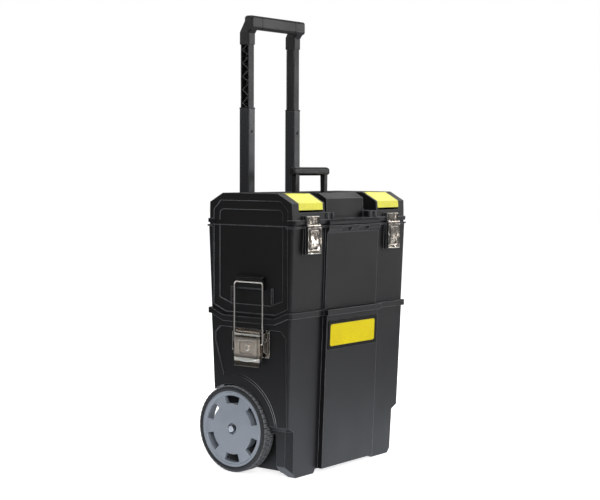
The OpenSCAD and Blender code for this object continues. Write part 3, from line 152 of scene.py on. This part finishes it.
# The room is white where the camera sees it. Its light falls off towards the box's left
# end, where a dark drape stands, so the end face stays nearly black
world = bpy.data.worlds.new("studio")
scene.world = world
tree = blank(world)
path = add(tree, "ShaderNodeLightPath")
seen = add(tree, "ShaderNodeMath", {0: path.outputs["Is Camera Ray"],
                                    1: path.outputs["Is Transmission Ray"]}, operation="MAXIMUM")
towards = add(tree, "ShaderNodeTexCoord")
drape = add(tree, "ShaderNodeVectorMath", {0: towards.outputs["Generated"], 1: (-0.86, 0.5, 0.0)},
            operation="DOT_PRODUCT")
level = add(tree, "ShaderNodeMapRange", {"Value": drape.outputs["Value"],
                                         **span(-0.35, 0.55, 0.22, 0.03)})
fill = add(tree, "ShaderNodeBackground", {"Color": srgb("#eef2f6"), "Strength": level.outputs[0]})
white = add(tree, "ShaderNodeBackground", {"Color": srgb("#ffffff"), "Strength": 1.0})
mix = add(tree, "ShaderNodeMixShader", {0: seen.outputs[0], 1: fill.outputs[0],
                                        2: white.outputs[0]})
add(tree, "ShaderNodeOutputWorld", {"Surface": mix.outputs[0]})

# Soft boxes: name, place, what each is turned to, width and height in metres, and watts
for name, place, target, size, watts in (
        ("key_low", (2.4, -2.2, 0.14), (0.1, -0.1, 0.3), (1.7, 0.2), 9),
        ("key_middle", (2.3, -2.1, 1.0), (0.1, -0.1, 0.6), (1.7, 0.4), 17),
        ("key_high", (2.1, -2.0, 1.75), (0.1, -0.1, 0.45), (1.7, 0.4), 18),
        ("ridge", (2.9, 1.0, 2.5), (0, 0, 0.65), (1.3, 0.9), 11),
        ("camera_side", (-2.9, -2.3, 2.3), (0, 0, 0.4), (1.2, 1.2), 62),
        ("top", (-0.3, 0.1, 3.0), (0, 0, 0.6), (1.4, 1.0), 34),
        ("back", (1.2, 2.8, 1.7), (0, 0, 0.6), (1.4, 1.6), 30),
        ("end_slit", (-3.0, 1.9, 1.1), (-0.2, 0, 0.5), (0.12, 1.4), 2.5),
        ("end_high", (-2.2, 2.2, 1.6), (-0.2, 0, 0.4), (1.2, 0.3), 8)):
    light = bpy.data.lights.new(name, "AREA")
    light.shape = "RECTANGLE"
    light.size, light.size_y = size
    light.energy = watts
    lamp = bpy.data.objects.new(name, light)
    lamp.location = place
    facing = Vector(target) - Vector(place)
    lamp.rotation_euler = facing.to_track_quat("-Z", "Y").to_euler()
    scene.collection.objects.link(lamp)

# ---------------------------------------------------------------------------
# Lower bin, upper box and lid: moulded in black polypropylene, in tools sparked to a fine
# matt grain. The grain keeps the faces soft, and the edges, which hands and floors rub, are
# smoother. A lighter colour along them is a painted highlight for the thin lines of light that
# their rounding catches.


def paint(surface, *names):
    """Gives a material to whole CAD nodes."""
    for name in names:
        nodes[name].data.materials.clear()
        nodes[name].data.materials.append(surface)


def edges(tree, radius):
    """The normal as edges rounded by that radius would have it, and its dot product with the
    face's own normal: 1 on a flat face, less near an edge."""
    soft = add(tree, "ShaderNodeBevel", {"Radius": radius}, samples=6)
    flat = add(tree, "ShaderNodeNewGeometry")
    turned = add(tree, "ShaderNodeVectorMath",
                 {0: soft.outputs[0], 1: flat.outputs["True Normal"]}, operation="DOT_PRODUCT")
    return soft.outputs[0], turned.outputs["Value"]


def moulded(name, colour, edge, grain, depth, roughness, specular=0.5, round_by=0.0012,
            no_highlight_height=None, parting=None):
    """Moulded plastic or rubber: a grain of that size and depth in metres, slow changes of
    shade and gloss where it flowed and was handled, and smoother edges with a painted highlight,
    a lighter colour along them for the light that rounded edges catch. Within 5 mm of the given
    height, where two boxes meet, the painted edge highlight fades out, so the seam stays dark.
    A parting line runs round the piece at that distance to either side of the middle."""
    made = bpy.data.materials.new(name)
    tree = blank(made)
    place = add(tree, "ShaderNodeTexCoord").outputs["Object"]
    grains = add(tree, "ShaderNodeTexNoise", {"Vector": place, "Scale": 1 / grain, "Detail": 2.0})
    clouds = add(tree, "ShaderNodeTexNoise", {"Vector": place, "Scale": 1 / 0.09, "Detail": 3.0})
    soft, turned = edges(tree, round_by)
    # Painted highlight: a lighter colour along the edges, for the light that rounded edges catch
    edge_highlight_factor = add(tree, "ShaderNodeMapRange", {"Value": turned, **span(0.995, 0.90)})
    patchy = add(tree, "ShaderNodeMapRange", {"Value": clouds.outputs[0],
                                              **span(0.3, 0.7, 0.45, 1.0)})
    edge_highlight_mask = add(tree, "ShaderNodeMath", {0: edge_highlight_factor.outputs[0], 1: patchy.outputs[0]},
                 operation="MULTIPLY")
    # Near that height the painted edge highlight fades out, so the seam between boxes stays dark
    if no_highlight_height is not None:
        height = add(tree, "ShaderNodeSeparateXYZ", {0: place})
        off = add(tree, "ShaderNodeMath", {0: height.outputs["Z"], 1: no_highlight_height},
                  operation="SUBTRACT")
        off = add(tree, "ShaderNodeMath", {0: off.outputs[0]}, operation="ABSOLUTE")
        bare = add(tree, "ShaderNodeMapRange", {"Value": off.outputs[0],
                                                **span(0.004, 0.006, 0.1, 1.0)})
        edge_highlight_mask = add(tree, "ShaderNodeMath", {0: edge_highlight_mask.outputs[0], 1: bare.outputs[0]},
                     operation="MULTIPLY")
    base = srgb(colour)
    darker = [c * 0.82 for c in base[:3]] + [1.0]
    lighter = [min(1.0, c * 1.2) for c in base[:3]] + [1.0]
    shade = add(tree, "ShaderNodeMix", {"Factor": clouds.outputs[0], COLOUR_A: darker,
                                        COLOUR_B: lighter}, data_type="RGBA")
    speck = add(tree, "ShaderNodeMapRange", {"Value": grains.outputs[0],
                                             **span(0.25, 0.75, 0.88, 1.12)})
    tint = add(tree, "ShaderNodeVectorMath", {0: shade.outputs[MIXED], "Scale": speck.outputs[0]},
               operation="SCALE")
    colours = add(tree, "ShaderNodeMix", {"Factor": edge_highlight_mask.outputs[0], COLOUR_A: tint.outputs[0],
                                          COLOUR_B: srgb(edge)}, data_type="RGBA")
    gloss = add(tree, "ShaderNodeMapRange", {"Value": clouds.outputs[0],
                                             **span(0.3, 0.7, roughness - 0.04, roughness + 0.05)})
    smooth = add(tree, "ShaderNodeMath", {0: edge_highlight_mask.outputs[0], 1: -0.14, 2: gloss.outputs[0]},
                 operation="MULTIPLY_ADD")
    bumps = add(tree, "ShaderNodeBump", {"Height": grains.outputs[0], "Distance": depth,
                                         "Strength": 0.6, "Normal": soft})
    shader = add(tree, "ShaderNodeBsdfPrincipled", {
        "Base Color": colours.outputs[MIXED], "Roughness": smooth.outputs[0],
        "Normal": bumps.outputs[0], "Specular IOR Level": specular, "IOR": 1.49})
    if parting is not None:
        side = add(tree, "ShaderNodeSeparateXYZ", {0: place})
        side = add(tree, "ShaderNodeMath", {0: side.outputs["X"]}, operation="ABSOLUTE")
        off = add(tree, "ShaderNodeMath", {0: side.outputs[0], 1: parting}, operation="SUBTRACT")
        off = add(tree, "ShaderNodeMath", {0: off.outputs[0]}, operation="ABSOLUTE")
        groove = add(tree, "ShaderNodeMapRange", {"Value": off.outputs[0],
                                                  **span(0.0006, 0.0014, 1.0, 0.0)})
        sunk = add(tree, "ShaderNodeMix", {
            "Factor": groove.outputs[0], COLOUR_A: colours.outputs[MIXED],
            COLOUR_B: srgb("#050505")}, data_type="RGBA")
        gleam = add(tree, "ShaderNodeMapRange", {"Value": groove.outputs[0],
                                                 **span(0.0, 1.0, specular, 0.02)})
        tree.links.new(sunk.outputs[MIXED], shader.inputs["Base Color"])
        tree.links.new(gleam.outputs[0], shader.inputs["Specular IOR Level"])
    add(tree, "ShaderNodeOutputMaterial", {"Surface": shader.outputs["BSDF"]})
    return made


# The real grain is about 0.3 mm across, drawn at 1.4 mm so that it shows
lid_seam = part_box("upper_box")[1].z
polypropylene = moulded("black_polypropylene_spark_grain", "#151516", "#8f9295", grain=0.0014,
                        depth=0.00022, roughness=0.46, specular=0.22, round_by=0.0018,
                        no_highlight_height=lid_seam)
paint(polypropylene, "lower_bin", "upper_box", "lid")

# A painted highlight on the rolled edge of each wheel arch, for the light it catches: two fine
# bright arcs about 5 mm apart on the front half, brightest where they run down towards the foot
wheel_axis = next(Vector(j["pos_m"]) for j in frame["joints"] if j["name"] == "left_wheel_spin")
tyre_low, tyre_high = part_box("tyre_left")
tyre_r = (tyre_high.z - tyre_low.z) / 2
arch_r = tyre_r + 0.0285
tree = polypropylene.node_tree
shader = tree.nodes["Principled BSDF"]
place = add(tree, "ShaderNodeTexCoord").outputs["Object"]
hung = add(tree, "ShaderNodeVectorMath", {0: place, 1: wheel_axis}, operation="SUBTRACT")
parts = add(tree, "ShaderNodeSeparateXYZ", {0: hung.outputs[0]}).outputs
flat = add(tree, "ShaderNodeCombineXYZ", {"Y": parts["Y"], "Z": parts["Z"]})
reach = add(tree, "ShaderNodeVectorMath", {0: flat.outputs[0]}, operation="LENGTH")
apart = reach.outputs["Value"]
for distance in (arch_r, 0.0024):
    apart = add(tree, "ShaderNodeMath", {0: apart, 1: distance}, operation="SUBTRACT").outputs[0]
    apart = add(tree, "ShaderNodeMath", {0: apart}, operation="ABSOLUTE").outputs[0]
thin = add(tree, "ShaderNodeMapRange", {"Value": apart, **span(0.0001, 0.0007, 1.0, 0.0)})
glint = thin.outputs[0]
for axis, fade in (("Y", span(-0.12, -0.02, 0.9, 0.0)), ("Z", span(0.018, 0.03))):
    faded = add(tree, "ShaderNodeMapRange", {"Value": parts[axis], **fade})
    glint = add(tree, "ShaderNodeMath", {0: glint, 1: faded.outputs[0]},
                operation="MULTIPLY").outputs[0]
grained = shader.inputs["Base Color"].links[0].from_socket
# The arcs are a painted highlight mixed into the box's colour
lit = add(tree, "ShaderNodeMix", {"Factor": glint, COLOUR_A: grained, COLOUR_B: srgb("#c4c7ca")},
          data_type="RGBA")
tree.links.new(lit.outputs[MIXED], shader.inputs["Base Color"])

# ---------------------------------------------------------------------------
# Label: a self-adhesive plate of printed vinyl, a plain yellow field on satin black, pressed
# into a shallow panel of the bin's front.

label_black = moulded("satin_black_vinyl", "#0d0b0b", "#262324", grain=0.0030, depth=0.00003,
                      roughness=0.4, specular=0.1)
label_yellow = moulded("printed_yellow_vinyl", "#fbdc00", "#fbe64a", grain=0.0030, depth=0.00003,
                       roughness=0.4, specular=0.1)
paint(label_black, "label_frame")
paint(label_yellow, "label_plate")

# ---------------------------------------------------------------------------
# Organiser covers: two lids of yellow polypropylene, moulded glossier than the box, each
# hinged in the lid over a small-parts tray.

cover_yellow = moulded("gloss_yellow_polypropylene", "#f4e93e", "#f8f19a", grain=0.0016,
                       depth=0.00006, roughness=0.34, specular=0.22)
paint(cover_yellow, "cover_left", "cover_right")

# ---------------------------------------------------------------------------
# Lift-out tray: dark grey polypropylene with the same matt grain as the box, with a black
# carrier clipped over its middle.

tray_grey = moulded("grey_polypropylene_spark_grain", "#3d3f42", "#75787c", grain=0.0014,
                    depth=0.00018, roughness=0.52)
paint(tray_grey, "tray")

# ---------------------------------------------------------------------------
# Carry handle, telescopic grip, guides, collars and catches: black ABS with a leather-like
# grain that hands can hold, a little glossier than the boxes.

abs_black = moulded("black_abs_leather_grain", "#101011", "#55585a", grain=0.0024, depth=0.0003,
                    roughness=0.4, specular=0.3)
paint(abs_black, "carry_handle", "guide_left", "guide_right", "tube_collars", "tube_bridge",
      "catch_left", "catch_right", "tray_grip")

# The grip's two end brackets are clipped over its bar, with a fine line where each ends
grip_black = moulded("black_abs_grip", "#101011", "#55585a", grain=0.0024, depth=0.0003,
                     roughness=0.4, specular=0.34, parting=0.066)
paint(grip_black, "grip")

# ---------------------------------------------------------------------------
# Telescopic tubes: the middle pair are extruded aluminium, anodised black, with fine lines
# drawn along them. The inner pair are moulded in glass-filled nylon, open at the sides
# between zigzag ribs.


def skin(name, loops, closed):
    """A mesh over loops of points: the last joined to the first if closed, else both capped."""
    drawn = bmesh.new()
    rings = [[drawn.verts.new(point) for point in loop] for loop in loops]
    count = len(rings[0])
    for near, far in zip(rings, rings[1:] + rings[:1] if closed else rings[1:]):
        for k in range(count):
            m = (k + 1) % count
            drawn.faces.new((near[k], near[m], far[m], far[k]))
    if not closed:
        drawn.faces.new(rings[0])
        drawn.faces.new(rings[-1])
    bmesh.ops.recalc_face_normals(drawn, faces=drawn.faces)
    made = bpy.data.meshes.new(name)
    drawn.to_mesh(made)
    drawn.free()
    return made


anodised = bpy.data.materials.new("black_anodised_aluminium")
tree = blank(anodised)
place = add(tree, "ShaderNodeTexCoord").outputs["Object"]
# Die lines, 0.2 mm apart in the metal, drawn at about 2 mm across and 200 mm long
drawn = add(tree, "ShaderNodeMapping", {"Vector": place, "Scale": (480, 480, 5)})
lines = add(tree, "ShaderNodeTexNoise", {"Vector": drawn.outputs[0], "Scale": 1.0, "Detail": 3.0})
clouds = add(tree, "ShaderNodeTexNoise", {"Vector": place, "Scale": 14.0, "Detail": 2.0})
soft, turned = edges(tree, 0.0012)
# Painted highlight: the edges are mixed towards light grey, for the light that rounded edges catch
edge_highlight_factor = add(tree, "ShaderNodeMapRange", {"Value": turned, **span(0.995, 0.9, 0.0, 0.8)})
film = add(tree, "ShaderNodeMix", {"Factor": lines.outputs[0], COLOUR_A: srgb("#1a1b1d"),
                                   COLOUR_B: srgb("#2d2f31")}, data_type="RGBA")
colours = add(tree, "ShaderNodeMix", {"Factor": edge_highlight_factor.outputs[0], COLOUR_A: film.outputs[MIXED],
                                      COLOUR_B: srgb("#b4b7ba")}, data_type="RGBA")
gloss = add(tree, "ShaderNodeMapRange", {"Value": clouds.outputs[0], **span(0.3, 0.7, 0.34, 0.46)})
bumps = add(tree, "ShaderNodeBump", {"Height": lines.outputs[0], "Distance": 0.00006,
                                     "Strength": 0.5, "Normal": soft})
shader = add(tree, "ShaderNodeBsdfPrincipled", {
    "Base Color": colours.outputs[MIXED], "Roughness": gloss.outputs[0],
    "Normal": bumps.outputs[0], "Metallic": 0.35})
add(tree, "ShaderNodeOutputMaterial", {"Surface": shader.outputs["BSDF"]})
paint(anodised, "middle_tubes")

# Glass fibres leave a dry, slightly mottled skin
nylon = moulded("glass_filled_black_nylon", "#151516", "#8c8f92", grain=0.0032, depth=0.00014,
                roughness=0.42, specular=0.3)
paint(nylon, "inner_tube_left", "inner_tube_right")

# Each inner tube's zigzag ribs are open on the outer side only. A web, moulded with them,
# closes the side towards the other tube: a channel 1.6 mm thick, from the slider at the foot
# up to the grip's socket
for side, outward in (("left", -1), ("right", 1)):
    low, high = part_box(f"inner_tube_{side}")
    middle = (low.y + high.y) / 2
    inner = min(abs(low.x), abs(high.x)) + 0.0005
    # one half of the channel's section, as distances from the inner face and from the middle,
    # and the other half mirrored
    half = [(0.0002, -0.0101), (0.0036, -0.0101), (0.0036, -0.0088), (0.0018, -0.0082)]
    section = half + [(x, -y) for x, y in reversed(half)]
    foot, top = low.z + 0.046, high.z - 0.0235
    web = bpy.data.objects.new(f"tube_web_{side}", skin(f"tube_web_{side}", [
        [(outward * (inner + x), middle + y, z) for x, y in section] for z in (foot, top)],
        closed=False))
    web.data.materials.append(nylon)
    scene.collection.objects.link(web)
    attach(web, "handle_inner")

# ---------------------------------------------------------------------------
# Axle, its caps, hinge pins and screws: turned steel with a bright zinc plate, a little
# cloudy as plating is. The spring buttons are turned steel too, but blackened.


def plated(name, colour, cloud, brushed, roughness, wear, buckled=0.0, waves=(38, 38, 55)):
    """Plated steel: cloudy plating, fine polishing lines, painted shade in the hollows and a
    painted highlight along the edges, on sheet that pressing has buckled by that many metres,
    so many waves to the metre."""
    made = bpy.data.materials.new(name)
    tree = blank(made)
    place = add(tree, "ShaderNodeTexCoord").outputs["Object"]
    combed = add(tree, "ShaderNodeMapping", {"Vector": place, "Scale": (900, 900, 60)})
    lines = add(tree, "ShaderNodeTexNoise", {"Vector": combed.outputs[0], "Scale": 1.0,
                                             "Detail": 2.0})
    clouds = add(tree, "ShaderNodeTexNoise", {"Vector": place, "Scale": 1 / 0.016, "Detail": 4.0,
                                              "Roughness": 0.6})
    film = add(tree, "ShaderNodeMix", {"Factor": clouds.outputs[0], COLOUR_A: srgb(colour),
                                       COLOUR_B: srgb(cloud)}, data_type="RGBA")
    # Painted shade: the colour darkens in hollows, as ambient occlusion finds them
    hollow = add(tree, "ShaderNodeAmbientOcclusion", {"Distance": 0.006}, samples=6)
    hollow_shade = add(tree, "ShaderNodeMapRange", {"Value": hollow.outputs["AO"],
                                               **span(0.35, 0.95, 0.12, 1.0)})
    tint = add(tree, "ShaderNodeVectorMath", {0: film.outputs[MIXED],
                                              "Scale": hollow_shade.outputs[0]}, operation="SCALE")
    # Painted highlight: the edges are mixed towards white
    soft, turned = edges(tree, 0.0011)
    edge_highlight_mask = add(tree, "ShaderNodeMapRange", {"Value": turned, **span(0.99, 0.85, 0.0, 0.55)})
    colours = add(tree, "ShaderNodeMix", {"Factor": edge_highlight_mask.outputs[0], COLOUR_A: tint.outputs[0],
                                          COLOUR_B: srgb("#ffffff")}, data_type="RGBA")
    gloss = add(tree, "ShaderNodeMapRange", {"Value": clouds.outputs[0],
                                             **span(0.25, 0.75, roughness, roughness + wear)})
    rough = add(tree, "ShaderNodeMath", {0: edge_highlight_mask.outputs[0], 1: 0.5, 2: gloss.outputs[0]},
                operation="MULTIPLY_ADD")
    spread = add(tree, "ShaderNodeMapping", {"Vector": place, "Scale": waves})
    swell = add(tree, "ShaderNodeTexNoise", {"Vector": spread.outputs[0], "Scale": 1.0,
                                             "Detail": 0.6, "Distortion": 0.4})
    bent = add(tree, "ShaderNodeBump", {"Height": swell.outputs[0], "Distance": buckled,
                                        "Strength": 1.0, "Normal": soft})
    bumps = add(tree, "ShaderNodeBump", {"Height": lines.outputs[0], "Distance": brushed,
                                         "Strength": 0.5, "Normal": bent.outputs[0]})
    shader = add(tree, "ShaderNodeBsdfPrincipled", {
        "Base Color": colours.outputs[MIXED], "Roughness": rough.outputs[0],
        "Normal": bumps.outputs[0], "Metallic": 1.0})
    add(tree, "ShaderNodeOutputMaterial", {"Surface": shader.outputs["BSDF"]})
    return made


zinc = plated("zinc_plated_steel", "#b4b8bd", "#8f9499", brushed=0.00004, roughness=0.3, wear=0.2)
paint(zinc, "axle", "axle_caps", "guide_screws", "hinge_pins", "carry_pins")

# Blacking leaves a thin waxy film
blackened = plated("blackened_steel", "#1c1c1e", "#2c2c2e", brushed=0.00002, roughness=0.42,
                   wear=0.12)
paint(blackened, "upper_button_left", "upper_button_right", "lower_button_left",
      "lower_button_right")

# ---------------------------------------------------------------------------
# Side latches, bails and front hasps: pressed and bent steel, bright nickel plated, which
# mirrors the white room and the dark drape in hard patches.

nickel = plated("nickel_plated_steel", "#dcd2c6", "#8f877e", brushed=0.00003, roughness=0.14,
                wear=0.10, buckled=0.0003, waves=(38, 30, 70))
paint(nickel, "latch_base_left", "latch_base_right", "latch_pin_left", "latch_pin_right",
      "latch_rivets")

# Each lever's colour carries painted highlights and painted shade in bands up its height:
# bright at its top edge, the bar under the slots, the lock's panel and the bowed lip, and dark
# between them. Each band is a height in metres and the share of light that its colour keeps
lever_steel = plated("nickel_plated_lever_steel", "#fff4e6", "#d9cbbb", brushed=0.00003,
                     roughness=0.26, wear=0.06, buckled=0.0002, waves=(38, 30, 70))
bands = [(0.256, 1.0), (0.2605, 0.85), (0.262, 0.08), (0.2745, 0.12), (0.276, 1.5), (0.284, 1.4),
         (0.2855, 0.3), (0.290, 0.5), (0.294, 0.95), (0.316, 1.1), (0.328, 0.8), (0.331, 0.4),
         (0.3355, 0.22), (0.3375, 1.4), (0.341, 1.3), (0.3425, 0.15), (0.353, 0.2), (0.3555, 1.3)]
lowest, highest = bands[0][0], bands[-1][0]
tree = lever_steel.node_tree
shader = tree.nodes["Principled BSDF"]
place = add(tree, "ShaderNodeTexCoord").outputs["Object"]
height = add(tree, "ShaderNodeSeparateXYZ", {0: place})
along = add(tree, "ShaderNodeMapRange", {"Value": height.outputs["Z"], **span(lowest, highest)})
ramp = add(tree, "ShaderNodeValToRGB", {"Fac": along.outputs[0]})
while len(ramp.color_ramp.elements) < len(bands):
    ramp.color_ramp.elements.new(1.0)
for stop, (z, share) in zip(ramp.color_ramp.elements, bands):
    stop.position = (z - lowest) / (highest - lowest)
    stop.color = (share, share, share, 1.0)
even = shader.inputs["Base Color"].links[0].from_socket
# The bands multiply the colour: painted highlights and painted shade
painted_light_bands = add(tree, "ShaderNodeVectorMath", {0: even, 1: ramp.outputs["Color"]},
              operation="MULTIPLY")
tree.links.new(painted_light_bands.outputs[0], shader.inputs["Base Color"])
paint(lever_steel, "latch_lever_left", "latch_lever_right")

# The bails are bent from drawn wire, plated with the rest but less smooth
wire = plated("nickel_plated_wire", "#e6e1da", "#c2bbb2", brushed=0.00005, roughness=0.34,
              wear=0.12)
paint(wire, "bail_left", "bail_right")

# The front hasps are drawn over a punch, which leaves long shallow waves down them
drawn_nickel = plated("nickel_plated_hasp_steel", "#d8cfc4", "#a59c92", brushed=0.00003,
                      roughness=0.10, wear=0.10, buckled=0.0018, waves=(120, 120, 34))
paint(drawn_nickel, "hasp_plates", "hasp_left", "hasp_right", "hasp_pins", "hasp_strikes")

# ---------------------------------------------------------------------------
# Hubs: moulded in blue-grey polypropylene, satin, with the windows and the ribs behind them.

hub_grey = moulded("satin_blue_grey_polypropylene", "#989faa", "#c0c8d0", grain=0.0016,
                   depth=0.00008, roughness=0.42)
paint(hub_grey, "hub_left", "hub_right")

# ---------------------------------------------------------------------------
# Tyres: black rubber moulded round each hub, dusty grey where the tread blocks meet the
# floor, with a smooth side wall and three rows of staggered blocks.

tyre_w = tyre_high.x - tyre_low.x
hub_r = tyre_r - 0.013
tread_depth = 0.0028
block_rows = 3
blocks_round = 54
row_pitch = (tyre_w - 0.0072) / block_rows
pitch = 2 * math.pi * tyre_r / blocks_round

rubber = moulded("moulded_black_rubber", "#303133", "#5c5e61", grain=0.0026, depth=0.0004,
                 roughness=0.68, specular=0.25)
dusty = moulded("dusty_tread_rubber", "#7f8083", "#a0a2a5", grain=0.0040, depth=0.0005,
                roughness=0.85, specular=0.15)


def carcass():
    """The tyre without its blocks: a closed outline turned round the wheel's line, at x = 0."""
    half, ground, steps = tyre_w / 2, tyre_r - tread_depth, 108
    wall = [(hub_r, 0.003 - half), (tyre_r - 0.0085, -half), (tyre_r - 0.0045, 0.0012 - half),
            (ground, 0.0042 - half)]
    outline = wall + [(r, -x) for r, x in reversed(wall)]
    angles = [2 * math.pi * i / steps for i in range(steps)]
    return skin("carcass", [[(x, r * math.cos(a), r * math.sin(a)) for r, x in outline]
                            for a in angles], closed=True)


def tread_tree():
    """Rings of tread blocks added round the carcass, each ring half a pitch on from the last."""
    tree = bpy.data.node_groups.new("tyre_tread", "GeometryNodeTree")
    for name, kind in (("Geometry", "Geometry"), ("Radius", "Float"), ("Blocks round", "Int"),
                       ("Row pitch", "Float"), ("Block size", "Vector"),
                       ("Material", "Material")):
        tree.interface.new_socket(name, in_out="INPUT", socket_type=f"NodeSocket{kind}")
    tree.interface.new_socket("Geometry", in_out="OUTPUT", socket_type="NodeSocketGeometry")
    given = add(tree, "NodeGroupInput").outputs
    block = add(tree, "GeometryNodeMeshCube", {"Size": given["Block size"]})
    dusted = add(tree, "GeometryNodeSetMaterial", {"Geometry": block.outputs["Mesh"],
                                                   "Material": given["Material"]})
    joined = add(tree, "GeometryNodeJoinGeometry")
    tree.links.new(given["Geometry"], joined.inputs[0])
    for row in range(block_rows):
        ring = add(tree, "GeometryNodeMeshCircle", {"Vertices": given["Blocks round"],
                                                    "Radius": given["Radius"]})
        where = add(tree, "GeometryNodeInputPosition")
        facing = add(tree, "FunctionNodeAlignRotationToVector", {"Vector": where.outputs[0]},
                     axis="Y", pivot_axis="Z")
        blocks = add(tree, "GeometryNodeInstanceOnPoints", {
            "Points": ring.outputs["Mesh"], "Instance": dusted.outputs["Geometry"],
            "Rotation": facing.outputs["Rotation"]})
        # the circle lies flat: every other one is turned on by half a pitch, and each is
        # stood on edge and moved aside to its row
        share = add(tree, "ShaderNodeMath", {0: math.pi * (row % 2), 1: given["Blocks round"]},
                    operation="DIVIDE")
        aside = add(tree, "ShaderNodeMath", {0: row - (block_rows - 1) / 2,
                                             1: given["Row pitch"]}, operation="MULTIPLY")
        tilt = add(tree, "ShaderNodeCombineXYZ", {"Z": share.outputs[0]})
        move = add(tree, "ShaderNodeCombineXYZ", {"X": aside.outputs[0]})
        on = add(tree, "GeometryNodeTransform", {"Geometry": blocks.outputs[0],
                                                 "Rotation": tilt.outputs[0]})
        stood = add(tree, "GeometryNodeTransform", {
            "Geometry": on.outputs[0], "Rotation": (0.0, math.pi / 2, 0.0),
            "Translation": move.outputs[0]})
        tree.links.new(stood.outputs[0], joined.inputs[0])
    real = add(tree, "GeometryNodeRealizeInstances", {"Geometry": joined.outputs[0]})
    add(tree, "NodeGroupOutput", {"Geometry": real.outputs[0]})
    return tree


tread = tread_tree()
sockets = {item.name: item.identifier for item in tread.interface.items_tree
           if item.in_out == "INPUT"}
for side, outward in (("left", -1), ("right", 1)):
    bare = bpy.data.objects.new("bare_tyre", carcass())
    bare.data.materials.append(rubber)
    scene.collection.objects.link(bare)
    growth = bare.modifiers.new("tread", "NODES")
    growth.node_group = tread
    growth[sockets["Radius"]] = tyre_r - tread_depth
    growth[sockets["Blocks round"]] = blocks_round
    growth[sockets["Row pitch"]] = row_pitch
    # each block stands half out of the carcass, with its corners inside the tyre's radius
    growth[sockets["Block size"]] = (row_pitch * 0.86, 2 * tread_depth * 0.93, pitch * 0.66)
    growth[sockets["Material"]] = dusty
    whole = bare.evaluated_get(bpy.context.evaluated_depsgraph_get())
    grown = bpy.data.meshes.new_from_object(whole)
    bpy.data.objects.remove(bare)
    grown.transform(Matrix.Translation((outward * abs(wheel_axis.x), wheel_axis.y, wheel_axis.z)))
    tyre = bpy.data.objects.new(f"treaded_tyre_{side}", grown)
    scene.collection.objects.link(tyre)
    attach(tyre, f"wheel_{side}")
    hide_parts(f"tyre_{side}")
